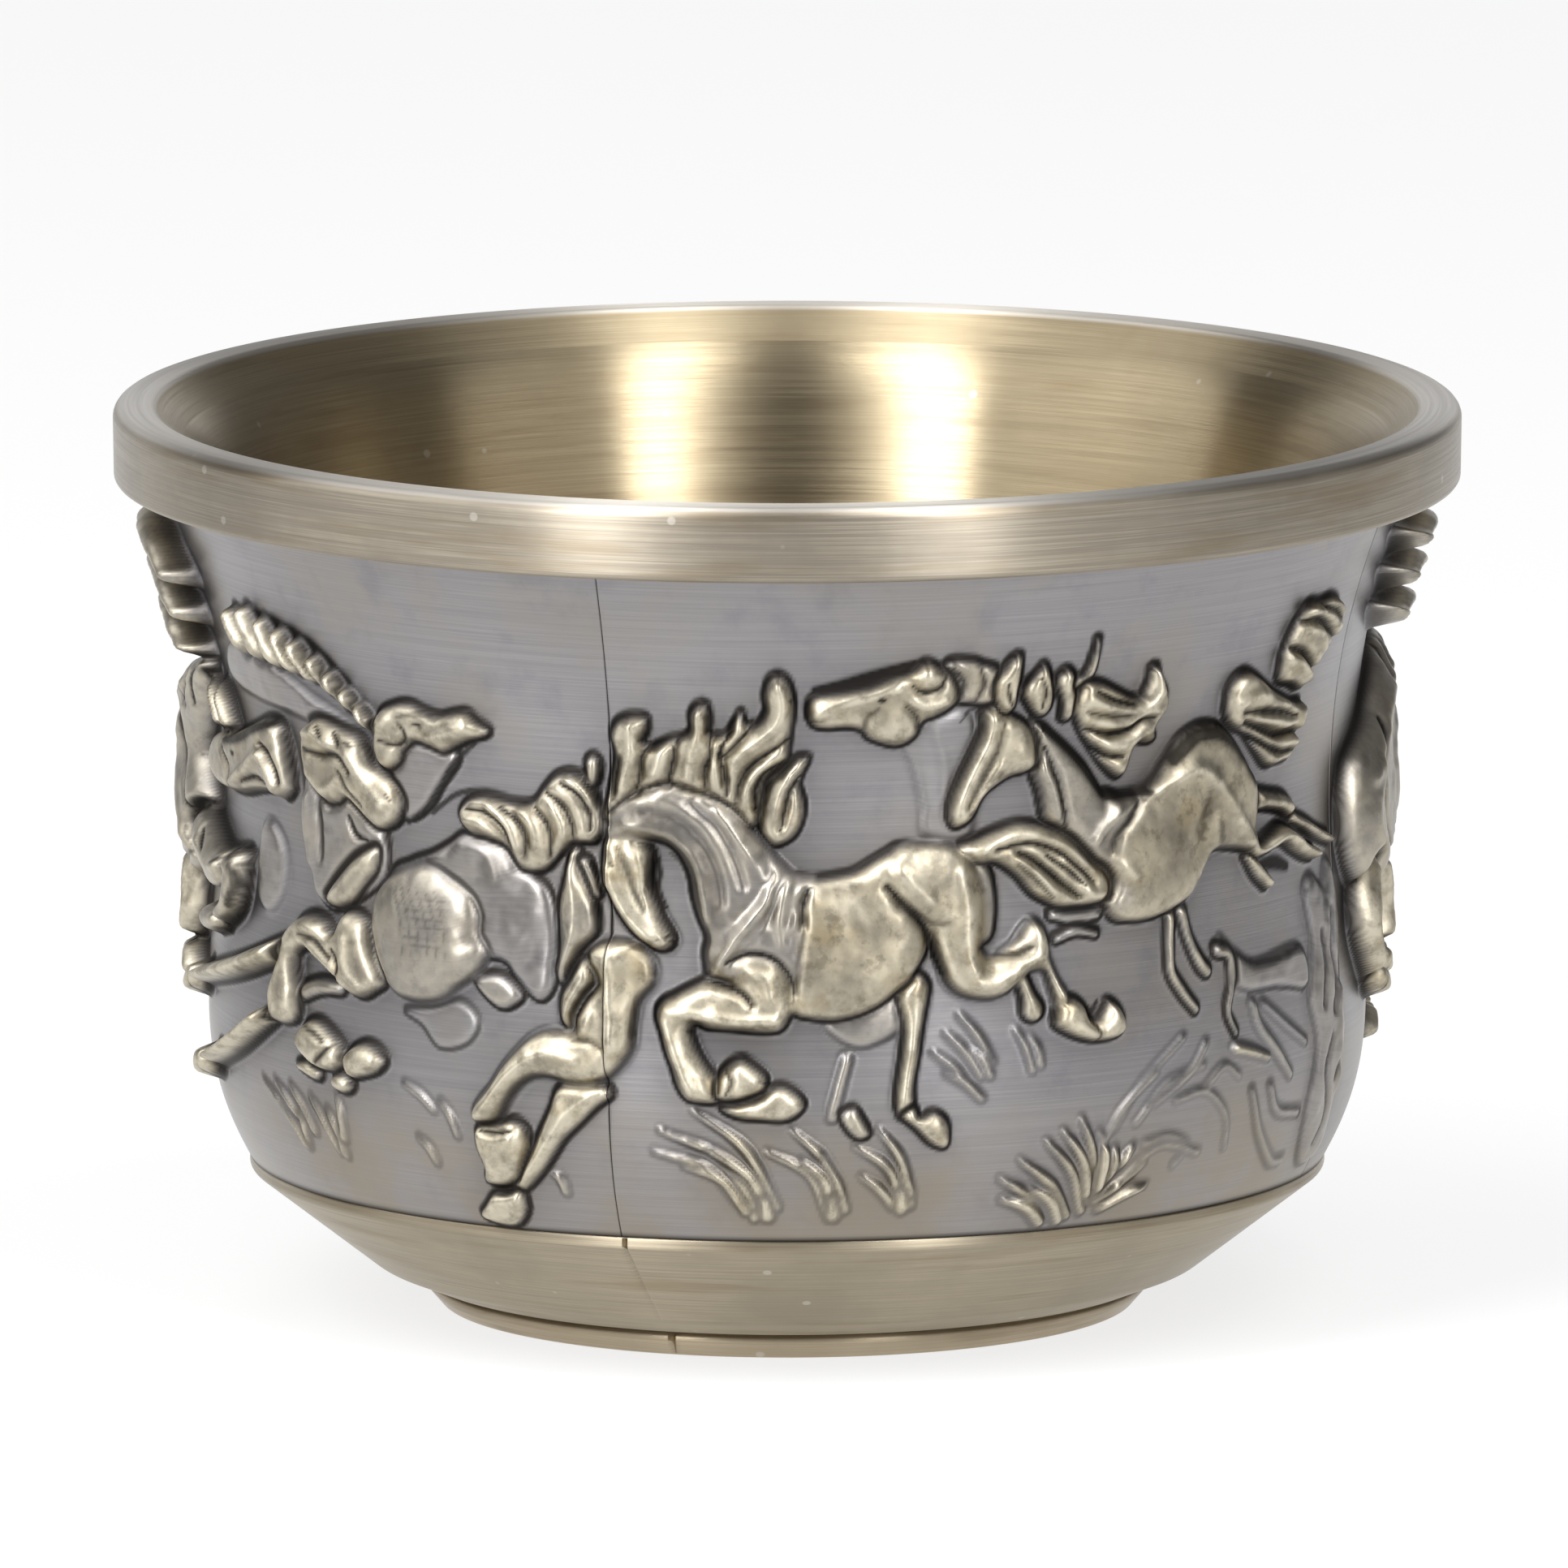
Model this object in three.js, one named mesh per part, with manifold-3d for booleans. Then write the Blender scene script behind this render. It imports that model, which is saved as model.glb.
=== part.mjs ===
// Relief drinking cup: a brushed rim collar, a brass liner, a waisted wall of four cast panels with
// galloping horses in relief, a conical lower band, a base plate and a low foot ring.
// Millimetres, +Z up, origin at the centre of the foot's underside. The front of the frieze faces -Y.
import * as THREE from "three";
import { mergeVertices } from "three/addons/utils/BufferGeometryUtils.js";
import Module from "manifold-3d";

const wasm = await Module();
wasm.setup();

// Overall size
const cupHeight = 40.4;
const rimRadius = 30;

// Rim collar
const rimBandHeight = 3.35;
const rimTopWidth = 1.75;
const rimEdgeRound = 0.45;
const rimLowerChamfer = 0.35;
const lipHeight = 1.4;
const lipSeatWidth = 0.35;

// Wall panels
const wallThickness = 1.3;
const rimOverhang = 2.2;
const rimFlareReach = 3.5;
const rimFlareSlope = 0.374;
const waistRadius = 25.25;
const waistRise = 17.05;
const waistReach = 6.2;
const bellyRadius = 25.77;
const bellyRise = 6.85;
const bellyReach = 3.3;
const wallFootRadius = 23.95;
const wallFootReach = 1.6;
const wallFootSlope = 0.55;
const seamAngle = THREE.MathUtils.degToRad(-17.7);
const seamGap = 0.12;

// Liner
const linerThickness = 0.7;
const flangeThickness = 0.8;
const flareDrop = 2.6;
const linerHeelWidth = 4.6;

// Lower band
const bandHeight = 5.55;
const bandEdgeHeight = 0.5;
const bandFootRadius = 16.35;
const bandToeWidth = 2.15;
const bandToeRise = 0.85;
const bandFloorThickness = 2.1;
const spigotHeight = 1.2;
const spigotThickness = 1.0;

// Base plate
const plateThickness = 1.2;
const plateSeatWidth = 2.5;

// Foot ring
const footHeight = 1.2;
const footRollRadius = 16.05;
const footTreadRadius = 15.4;
const footWaistRadius = 15.75;
const footTenonRadius = 14.3;
const footRollHeight = 0.95;
const footRollWidth = 0.2;
const footGrooveHeight = 1.1;
const footTenonHeight = 1.8;
const footBoreRadius = 13.6;

// Fits
const collarClearance = 0.3;
const linerClearance = 0.3;
const spigotClearance = 0.3;
const plateClearance = 0.3;
const footClearance = 0.3;

// Relief: the drawing below covers half a turn of a wall of this drawn size, and is repeated
const friezeDrawnLength = 80.1;
const friezeDrawnFoot = 6.75;
const friezeDrawnHeight = 30.3;
const reliefSink = 0.4;
const reliefTipShare = 0.8;
const reliefShoulderWidth = 0.75;
const reliefShoulderHeight = 0.62;

// Fineness of the round faces, and what is cut away or joined while shaping
const roundSteps = 40;
const panelSteps = 10;
const curveSteps = 3;
const edgeSteps = 4;
const trimSpare = 2;
const weldDistance = 1e-4;

// Levels, from the foot up
const bandTop = footHeight + bandHeight;
const wallTop = cupHeight - rimBandHeight;
const flangeTop = cupHeight - lipHeight;
const tenonTop = flangeTop - flangeThickness;
const plateSeat = footHeight + bandFloorThickness;
const plateTop = plateSeat + plateThickness;
const waistHeight = bandTop + waistRise;
const bellyHeight = bandTop + bellyRise;
const spigotTop = bandTop + spigotHeight;

// Radii that several pieces share
const wallTopRadius = rimRadius - rimOverhang;
const spigotRadius = wallFootRadius - wallThickness - spigotClearance;
const spigotInnerRadius = spigotRadius - spigotThickness;
const bandBoreRadius = footTenonRadius + footClearance;
const plateRadius = bandBoreRadius + plateSeatWidth;

// Quarters of the wall, from the front seam round to the right
const panelNames = [
  "relief_panel_front_right",
  "relief_panel_back_right",
  "relief_panel_back_left",
  "relief_panel_front_left",
];
const panelAngle = (2 * Math.PI) / panelNames.length;

// Outer face of the wall, from the rim down: a flare, a waist, a belly and a tucked-in foot.
const wallCurve = new THREE.CurvePath();
wallCurve.add(
  new THREE.CubicBezierCurve(
    new THREE.Vector2(wallTopRadius, wallTop),
    new THREE.Vector2(wallTopRadius - rimFlareReach * rimFlareSlope, wallTop - rimFlareReach),
    new THREE.Vector2(waistRadius, waistHeight + waistReach),
    new THREE.Vector2(waistRadius, waistHeight),
  ),
);
wallCurve.add(
  new THREE.CubicBezierCurve(
    new THREE.Vector2(waistRadius, waistHeight),
    new THREE.Vector2(waistRadius, waistHeight - bellyReach),
    new THREE.Vector2(bellyRadius, bellyHeight + bellyReach),
    new THREE.Vector2(bellyRadius, bellyHeight),
  ),
);
wallCurve.add(
  new THREE.CubicBezierCurve(
    new THREE.Vector2(bellyRadius, bellyHeight),
    new THREE.Vector2(bellyRadius, bellyHeight - bellyReach),
    new THREE.Vector2(wallFootRadius + wallFootReach * wallFootSlope, bandTop + wallFootReach),
    new THREE.Vector2(wallFootRadius, bandTop),
  ),
);
const wallPoints = wallCurve.getPoints(curveSteps);

// Radius of the wall's outer face at a height.
function wallRadius(z) {
  const below = wallPoints.findIndex((p) => p.y <= z);
  if (below === -1) return wallFootRadius;
  if (below === 0) return wallTopRadius;
  const upper = wallPoints[below - 1];
  const lower = wallPoints[below];
  return THREE.MathUtils.mapLinear(z, lower.y, upper.y, lower.x, upper.x);
}

// One closed skin: shared corners joined, faces without area left out.
function weld(geometry) {
  geometry.deleteAttribute("normal");
  geometry.deleteAttribute("uv");
  const welded = mergeVertices(geometry, weldDistance);
  const index = welded.index.array;
  const kept = [];
  for (let i = 0; i < index.length; i += 3) {
    const [a, b, c] = index.slice(i, i + 3);
    if (a !== b && b !== c && c !== a) kept.push(a, b, c);
  }
  welded.setIndex(kept);
  return welded;
}

// A profile of [radius, height] turned round the Z axis.
function turned(profile) {
  const points = profile.map(([r, z]) => new THREE.Vector2(r, z));
  const geometry = new THREE.LatheGeometry(points, roundSteps);
  return weld(geometry.rotateX(Math.PI / 2));
}

// A ring profile that closes on itself.
function closedLoop(profile) {
  return [...profile, profile[0]];
}

// Place on the wall: angle from the front, height and distance from the axis.
function polar(angle, radius, z) {
  return [radius * Math.sin(angle), -radius * Math.cos(angle), z];
}

function meshOf(points, triangles) {
  const geometry = new THREE.BufferGeometry();
  geometry.setAttribute("position", new THREE.Float32BufferAttribute(points.flat(), 3));
  geometry.setIndex(triangles.flat());
  return geometry;
}

// A closed profile swept through part of a turn, with flat ends.
function sector(profile, start, end, steps) {
  const count = profile.length;
  const points = [];
  const triangles = [];
  for (let s = 0; s <= steps; s++) {
    const angle = THREE.MathUtils.lerp(start, end, s / steps);
    profile.forEach(([r, z]) => points.push(polar(angle, r, z)));
  }
  for (let s = 0; s < steps; s++) {
    for (let i = 0; i < count; i++) {
      const a = s * count + i;
      const b = s * count + ((i + 1) % count);
      triangles.push([a, b + count, b], [a, a + count, b + count]);
    }
  }
  const outline = profile.map(([r, z]) => new THREE.Vector2(r, z));
  const last = steps * count;
  for (const [a, b, c] of THREE.ShapeUtils.triangulateShape(outline, [])) {
    triangles.push([a, b, c], [c + last, b + last, a + last]);
  }
  return meshOf(points, triangles);
}

// A place on the drawn frieze, lifted off the wall.
function onWall(u, v, lift) {
  const angle = (u / friezeDrawnLength) * Math.PI;
  const share = (v - friezeDrawnFoot) / friezeDrawnHeight;
  const z = THREE.MathUtils.lerp(bandTop, wallTop, share);
  return polar(angle, wallRadius(z) + lift, z);
}

// One modelled form of the relief: a low rounded ridge through stops of [along, up, half width].
function ridge(height, stops) {
  const points = [];
  const triangles = [];
  const section = [
    [1, -reliefSink],
    [reliefShoulderWidth, reliefShoulderHeight * height],
    [0, height],
    [-reliefShoulderWidth, reliefShoulderHeight * height],
    [-1, -reliefSink],
  ];
  const sides = section.length;
  const heading = (i) => {
    const before = stops[Math.max(i - 1, 0)];
    const after = stops[Math.min(i + 1, stops.length - 1)];
    return new THREE.Vector2(after[0] - before[0], after[1] - before[1]).normalize();
  };
  stops.forEach(([u, v, width], i) => {
    const along = heading(i);
    for (const [side, lift] of section) {
      points.push(onWall(u - along.y * side * width, v + along.x * side * width, lift));
    }
  });
  for (let i = 0; i + 1 < stops.length; i++) {
    for (let j = 0; j < sides; j++) {
      const a = i * sides + j;
      const b = i * sides + ((j + 1) % sides);
      triangles.push([a, b, b + sides], [a, b + sides, a + sides]);
    }
  }
  const lastStop = stops.length - 1;
  const start = points.length;
  const end = start + 1;
  for (const [stop, way] of [[0, -1], [lastStop, 1]]) {
    const [u, v, width] = stops[stop];
    const along = heading(stop).multiplyScalar(way * width * reliefTipShare);
    points.push(onWall(u + along.x, v + along.y, -reliefSink));
  }
  for (let j = 0; j < sides; j++) {
    const next = (j + 1) % sides;
    triangles.push([start, next, j], [end, lastStop * sides + j, lastStop * sides + next]);
  }
  return meshOf(points, triangles);
}

// The drawn frieze. Each form has its height off the wall, then stops of [along, up, half width].
const centreHorse = {
  barrel: [1.8, [0.6, 20.6, 2.3], [3, 20.2, 3], [5.4, 20.9, 2.7]],
  thigh: [1.9, [5.4, 22.6, 1.7], [7, 22.3, 2.1], [7.4, 20, 1.6]],
  shoulder: [1.9, [-1.6, 19.6, 1.7], [-1.4, 21.2, 2], [-0.6, 22.6, 1.4]],
  neck: [1.6, [-1.9, 21.6, 2], [-2.9, 24.3, 1.8], [-4.8, 25.8, 1.4], [-6.7, 25.6, 1]],
  head: [2, [-7.2, 24.6, 0.9], [-7.1, 23.2, 1.1], [-6.2, 21.5, 0.75], [-5.5, 20.6, 0.55]],
  forearm: [2.1, [-0.8, 18.6, 1.2], [-2.6, 17.9, 0.9], [-4.6, 17.5, 0.7]],
  foreCannon: [2, [-4.8, 17.3, 0.6], [-4.7, 15.9, 0.45], [-3.8, 13.9, 0.5]],
  foreHoof: [2, [-3.7, 13.8, 0.45], [-2.7, 13.9, 0.4], [-1.7, 14.4, 0.7]],
  farForeHoof: [1.4, [-2.4, 13, 0.4], [-1.2, 13.1, 0.45], [-0.2, 13.4, 0.6]],
  gaskin: [2, [7.5, 19.4, 1.2], [8.6, 18.5, 0.8], [10.2, 18.9, 0.7], [11.4, 20, 0.7]],
  hindCannon: [1.9, [11.5, 19.8, 0.6], [12.1, 18.2, 0.42], [12.8, 16.7, 0.5]],
  hindHoof: [1.9, [12.9, 16.6, 0.45], [14, 16.2, 0.45], [15.1, 16.4, 0.65]],
  farHind: [1.1, [5.3, 18, 0.8], [5.3, 16, 0.4], [5.1, 13.2, 0.42]],
  farHindHoof: [1.1, [5.2, 13.2, 0.4], [6.4, 12.1, 0.7]],
  maneFront: [1.1, [-6.9, 26.6, 0.5], [-6.8, 28.2, 0.45], [-7, 29.8, 0.3]],
  maneMiddle: [1.1, [-4.5, 27, 0.5], [-4.2, 28.4, 0.4], [-4, 30.2, 0.3]],
  maneBack: [1.1, [-2.7, 26.6, 0.55], [-1.6, 29, 0.5], [-0.4, 31.9, 0.3]],
  maneCurl: [1.1, [-1.5, 25.8, 0.45], [0.1, 27.3, 0.45], [0.4, 26.2, 0.4], [-0.3, 25, 0.35]],
  tailUpper: [1.3, [8, 24.3, 0.45], [10.4, 24.9, 0.6], [12.8, 23.7, 0.75], [14.8, 22.4, 0.4]],
  tailLower: [1.2, [9.2, 24, 0.4], [10.8, 22.9, 0.6], [12.6, 21.8, 0.5], [14.4, 21.7, 0.35]],
};

const headBehind = {
  head: [0.9, [1.1, 30.4, 0.55], [2.8, 30.9, 0.85], [4.6, 31, 1.25]],
  poll: [0.9, [4.6, 31.2, 1.2], [6.2, 32.2, 0.8]],
  neck: [0.5, [6.2, 30.6, 1.6], [7, 27.6, 1.4]],
  mane: [0.8, [7, 32.3, 0.5], [9.4, 32.6, 0.45], [11.6, 32, 0.35]],
};

const rightHorse = {
  head: [1.6, [9.6, 30.2, 0.9], [9.2, 28.7, 1.1], [8.2, 26.9, 0.75], [7.4, 25.8, 0.5]],
  neck: [1.3, [10.4, 29.9, 0.9], [12.2, 27.6, 1.2], [14.2, 25, 1.6]],
  barrel: [1.7, [15.4, 23.6, 1.9], [17.4, 23.5, 2.8], [19.4, 24.4, 2.6]],
  croup: [1.7, [19.6, 26.3, 1.9], [21.4, 26.2, 1.8], [22.8, 24.2, 1.2]],
  stifle: [1.7, [22.8, 24, 1.1], [24.1, 22.8, 0.6]],
  gaskin: [1.7, [24.1, 22.8, 0.6], [26.6, 24.1, 0.55]],
  hindCannon: [1.6, [26.7, 24, 0.5], [28.2, 22.7, 0.4], [29.5, 21.8, 0.5]],
  farGaskin: [1.3, [24.2, 22.6, 0.5], [24.7, 21.5, 0.45], [26.8, 21, 0.45]],
  foreleg: [0.7, [18.4, 20.2, 0.5], [18.3, 18.4, 0.35], [19.8, 16.3, 0.3]],
  farForearm: [0.7, [19.3, 20.2, 0.5], [20, 18.6, 0.35], [21.6, 18.4, 0.4]],
  farForeCannon: [0.7, [21.7, 18.4, 0.4], [22.1, 16.2, 0.35], [22.8, 14.4, 0.4]],
  maneTop: [1, [10.4, 31.4, 0.45], [12.2, 31.3, 0.5], [13.4, 32.4, 0.3]],
  maneUpper: [1, [12.6, 31, 0.5], [15, 30.4, 0.6], [17.2, 31.2, 0.4]],
  maneLower: [1, [12.8, 29.6, 0.45], [15.2, 29.3, 0.55], [17.3, 29.9, 0.4]],
  tailRoot: [1.2, [21.2, 28.4, 0.6], [22.4, 30.3, 0.6]],
  tailUpper: [1.2, [22.4, 30.3, 0.6], [24.6, 29.5, 0.6], [26.8, 29.9, 0.6]],
  tailMiddle: [1.2, [22.6, 28.6, 0.45], [24.8, 28.1, 0.5], [27, 27.5, 0.35]],
  tailLower: [1.2, [23.6, 27.6, 0.4], [25, 26.7, 0.45], [26.9, 26.7, 0.3]],
  tailTuft: [1.4, [25.2, 31.8, 0.7], [27.4, 32.4, 0.8], [29.6, 31.8, 0.6]],
};

const leftHorse = {
  barrel: [1.9, [-19.4, 20, 2], [-17.3, 19.8, 2.9], [-15.2, 20.4, 2.6]],
  thigh: [1.8, [-13.2, 22.6, 1.9], [-12.2, 20.6, 2], [-11.4, 18.8, 1.3]],
  dock: [1.6, [-12.4, 24, 0.9], [-11, 23.9, 0.9]],
  chest: [1.6, [-21.6, 21, 1.5], [-21.4, 18.6, 1.4]],
  neck: [1.2, [-21.4, 21.8, 1.6], [-23.2, 23.6, 1.6], [-24, 26, 1.2]],
  head: [1.4, [-23.6, 27.2, 1], [-21.9, 26.4, 1.1], [-20.2, 25.4, 0.8], [-19.2, 25, 0.5]],
  tail: [1.2, [-14.6, 25.2, 0.6], [-12.6, 25.3, 0.7], [-10.2, 26.4, 0.7], [-8.7, 27.2, 0.4]],
  hip: [1.2, [-9.7, 23.6, 0.5], [-9.5, 21.4, 0.6], [-9.1, 19.4, 0.6]],
  hindThigh: [1.9, [-8.2, 19.6, 0.8], [-8.1, 17.4, 1.2], [-8.3, 15.4, 1.1]],
  hindCannon: [1.9, [-8.6, 15.1, 0.8], [-11.2, 14.9, 0.6], [-13.2, 13.2, 0.5], [-14.1, 12.2, 0.5]],
  hindHoof: [1.8, [-14, 11.6, 0.5], [-13.4, 10.3, 0.95]],
  farHind: [1.5, [-8.4, 14, 0.7], [-10.4, 12.2, 0.55], [-12.2, 9.4, 0.4]],
  farHindHoof: [1.5, [-12.6, 8.7, 0.4], [-13.8, 8, 0.7]],
  forearm: [1.5, [-21, 17.4, 1], [-23.2, 18.2, 0.65], [-25.4, 19.1, 0.6]],
  foreCannon: [1.5, [-25.6, 19.1, 0.55], [-26.6, 17.6, 0.5], [-26.6, 15.6, 0.6]],
  foreHoof: [1.5, [-26.2, 15.3, 0.55], [-24.5, 14.3, 0.7]],
  farForeHoof: [1.4, [-24, 14.2, 0.6], [-22.6, 13.7, 0.5], [-20.8, 13.8, 0.75]],
};

const headAbove = {
  head: [0.9, [-19.4, 28.3, 1], [-17.6, 28.8, 0.85], [-15.8, 28.9, 0.6], [-14.5, 29.3, 0.45]],
  neck: [0.8, [-20.2, 28.4, 1.1], [-22.4, 29.4, 1.3], [-25, 30, 1.4]],
  mane: [0.9, [-20.5, 30.2, 0.4], [-23.4, 31.8, 0.5], [-27.6, 31.9, 0.5]],
};

const sideHorse = {
  head: [1.5, [-32.4, 26.2, 1.1], [-30, 26.6, 0.95], [-27.6, 26.1, 0.7]],
  neck: [1.5, [-33, 26, 1.3], [-35.2, 24.4, 1.6], [-36, 22.4, 1.9]],
  barrel: [1.9, [-35.4, 19.6, 1.9], [-38, 19.8, 2.6], [-41, 20.5, 2.5]],
  croup: [1.8, [-41.4, 22.4, 1.8], [-43.6, 22.2, 1.8], [-44.6, 20, 1.3]],
  forearm: [1.5, [-35.2, 17.4, 0.9], [-32.6, 16.4, 0.6], [-30, 17.6, 0.5]],
  foreCannon: [1.4, [-30, 17.4, 0.5], [-28.8, 15.8, 0.4]],
  farForeleg: [1.3, [-36.4, 15.8, 0.8], [-33.4, 13.2, 0.5], [-30.4, 13.6, 0.55]],
  gaskin: [1.6, [-44.4, 18.6, 1], [-45.8, 16.2, 0.6], [-44, 13.8, 0.5]],
  hindHoof: [1.5, [-44, 13.6, 0.45], [-42.6, 12, 0.65]],
  maneKnot: [1.7, [-36.8, 30.8, 0.8], [-39.4, 33, 0.9], [-42.4, 33.8, 0.8]],
  maneLock: [1.5, [-37.8, 28.4, 0.6], [-40.4, 30, 0.7], [-43.4, 30.6, 0.6]],
};

const frieze = [centreHorse, headBehind, rightHorse, leftHorse, headAbove, sideHorse].flatMap(Object.values);

function solidOf(geometry) {
  const vertProperties = new Float32Array(geometry.attributes.position.array);
  const triVerts = new Uint32Array(geometry.index.array);
  return new wasm.Manifold(new wasm.Mesh({ numProp: 3, vertProperties, triVerts }));
}

function geometryOf(solid) {
  const { vertProperties, triVerts } = solid.getMesh();
  const geometry = new THREE.BufferGeometry();
  geometry.setAttribute("position", new THREE.BufferAttribute(vertProperties, 3));
  geometry.setIndex(new THREE.BufferAttribute(triVerts, 1));
  return geometry;
}

// A quarter of the wall with its share of the frieze, trimmed at the two seams and at both edges.
function reliefPanel(start) {
  const end = start + panelAngle;
  const spare = panelAngle / panelSteps;
  const inner = wallPoints.map((p) => [p.x - wallThickness, p.y]);
  const outer = wallPoints.map((p) => [p.x, p.y]).reverse();
  const above = tenonTop + trimSpare;
  const below = bandTop - trimSpare;
  const blankProfile = [
    [wallFootRadius, below],
    ...outer,
    [wallTopRadius, above],
    [wallTopRadius - wallThickness, above],
    ...inner,
    [wallFootRadius - wallThickness, below],
  ];
  let blank = solidOf(sector(blankProfile, start - spare, end + spare, panelSteps + 2));
  const unit = friezeDrawnLength / Math.PI;
  for (const [height, ...stops] of frieze) {
    for (const shift of [-friezeDrawnLength, 0, friezeDrawnLength]) {
      const moved = stops.map(([u, v, width]) => [u + shift, v, width]);
      const reach = moved.flatMap(([u, , width]) => [u - width, u + width]);
      const meets = Math.max(...reach) > start * unit && Math.min(...reach) < end * unit;
      if (meets) blank = blank.add(solidOf(ridge(height, moved)));
    }
  }
  const trimInner = Math.min(waistRadius, wallFootRadius) - wallThickness - trimSpare;
  const trimOuter = rimRadius + trimSpare;
  const trimProfile = [
    [trimInner, bandTop],
    [trimOuter, bandTop],
    [trimOuter, tenonTop],
    [trimInner, tenonTop],
  ];
  const seamHalf = seamGap / 2 / waistRadius;
  const trim = solidOf(sector(trimProfile, start + seamHalf, end - seamHalf, panelSteps));
  return geometryOf(blank.intersect(trim));
}

// Rim collar: it drops over the panels' tops and sits on the liner's flange.
function rimCollar() {
  const bore = wallTopRadius + collarClearance;
  const roundStart = rimRadius - rimEdgeRound;
  const edge = Array.from({ length: edgeSteps + 1 }, (_, i) => {
    const angle = ((i / edgeSteps) * Math.PI) / 2;
    return [
      roundStart + rimEdgeRound * Math.cos(angle),
      cupHeight - rimEdgeRound + rimEdgeRound * Math.sin(angle),
    ];
  });
  const mouth = rimRadius - rimTopWidth;
  const profile = [
    [bore, wallTop],
    [rimRadius - rimLowerChamfer, wallTop],
    [rimRadius, wallTop + rimLowerChamfer],
    ...edge,
    [mouth + rimEdgeRound / 2, cupHeight],
    [mouth, cupHeight - rimEdgeRound / 2],
    [wallTopRadius - lipSeatWidth, flangeTop],
    [bore, flangeTop],
  ];
  return turned(closedLoop(profile));
}

// Liner: a thin bowl that follows the wall inside and hangs on the panels by its flange.
function innerLiner() {
  const gap = wallThickness + linerClearance;
  const floorBottom = plateTop + linerClearance;
  const floorTop = floorBottom + linerThickness;
  const heel = spigotInnerRadius - linerClearance;
  const side = wallPoints.filter((p) => p.y > bellyHeight && p.y < wallTop - flareDrop);
  const outerFoot = new THREE.SplineCurve([
    new THREE.Vector2(heel - linerHeelWidth, floorBottom),
    new THREE.Vector2(heel, spigotTop),
    new THREE.Vector2(bellyRadius - gap, bellyHeight),
  ]);
  const innerFoot = new THREE.SplineCurve([
    new THREE.Vector2(bellyRadius - gap - linerThickness, bellyHeight),
    new THREE.Vector2(heel - linerThickness, spigotTop + linerThickness),
    new THREE.Vector2(heel - linerHeelWidth - linerThickness, floorTop),
  ]);
  const flareFoot = flangeTop - flareDrop;
  const flareFootRadius = wallRadius(flareFoot) - gap - linerThickness;
  const flare = new THREE.QuadraticBezierCurve(
    new THREE.Vector2(wallTopRadius - lipSeatWidth, flangeTop),
    new THREE.Vector2(flareFootRadius, flangeTop - flangeThickness),
    new THREE.Vector2(flareFootRadius, flareFoot),
  );
  const pairs = (points) => points.map((p) => [p.x, p.y]);
  const profile = [
    [0, floorBottom],
    ...pairs(outerFoot.getPoints(curveSteps)),
    ...pairs(side).reverse().map(([r, z]) => [r - gap, z]),
    [wallTopRadius - gap, wallTop],
    [wallTopRadius - gap, tenonTop],
    [wallTopRadius, tenonTop],
    [wallTopRadius, flangeTop],
    ...pairs(flare.getPoints(curveSteps)),
    ...pairs(side).map(([r, z]) => [r - gap - linerThickness, z]),
    ...pairs(innerFoot.getPoints(curveSteps)),
    [0, floorTop],
  ];
  return turned(profile);
}

// Lower band: a cone with a ledge and a spigot for the panels, and a seat for the base plate.
function lowerBand() {
  const wellRadius = plateRadius + plateClearance;
  const profile = [
    [bandBoreRadius, footHeight],
    [bandFootRadius, footHeight],
    [bandFootRadius + bandToeWidth, footHeight + bandToeRise],
    [wallFootRadius, bandTop - bandEdgeHeight],
    [wallFootRadius, bandTop],
    [spigotRadius, bandTop],
    [spigotRadius, spigotTop],
    [spigotInnerRadius, spigotTop],
    [wellRadius, plateTop],
    [wellRadius, plateSeat],
    [bandBoreRadius, plateSeat],
  ];
  return turned(closedLoop(profile));
}

// Base plate: a disc on the lower band's seat.
function basePlate() {
  return turned([
    [0, plateSeat],
    [plateRadius, plateSeat],
    [plateRadius, plateTop],
    [0, plateTop],
  ]);
}

// Foot ring: a rolled tread, a narrow groove, a shoulder that carries the band and a tenon in its bore.
function footRing() {
  const profile = [
    [footBoreRadius, 0],
    [footTreadRadius, 0],
    [footRollRadius, footRollHeight - footRollWidth],
    [footRollRadius, footRollHeight],
    [footWaistRadius, footGrooveHeight],
    [footWaistRadius, footHeight],
    [footTenonRadius, footHeight],
    [footTenonRadius, footHeight + footTenonHeight],
    [footBoreRadius, footHeight + footTenonHeight],
  ];
  return turned(closedLoop(profile));
}

const cup = new THREE.Group();

function addPart(name, geometry, color, roughness) {
  const material = new THREE.MeshStandardMaterial({ color, roughness, metalness: 1 });
  const mesh = new THREE.Mesh(geometry, material);
  mesh.name = name;
  cup.add(mesh);
  return mesh;
}

addPart("rim_collar", rimCollar(), 0xb4a88c, 0.38);
addPart("inner_liner", innerLiner(), 0xa59164, 0.35);
addPart("lower_band", lowerBand(), 0x968a76, 0.4);
addPart("base_plate", basePlate(), 0x8a8070, 0.5);
addPart("foot_ring", footRing(), 0x8f8470, 0.42);

// Opposite quarters carry the same half of the drawing, half a turn apart.
const halfTurn = panelNames.length / 2;
const drawnPanels = [0, -1].map((quarter) => reliefPanel(seamAngle + quarter * panelAngle));
panelNames.forEach((name, quarter) => {
  const drawn = quarter % halfTurn;
  const panel = addPart(name, drawnPanels[drawn], 0x8c8a8a, 0.45);
  panel.rotation.z = drawn === 0 ? quarter * panelAngle : (quarter + 1) * panelAngle;
});

export default cup;
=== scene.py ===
"""Relief drinking cup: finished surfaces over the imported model, on a plain floor in soft light."""
import math

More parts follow.
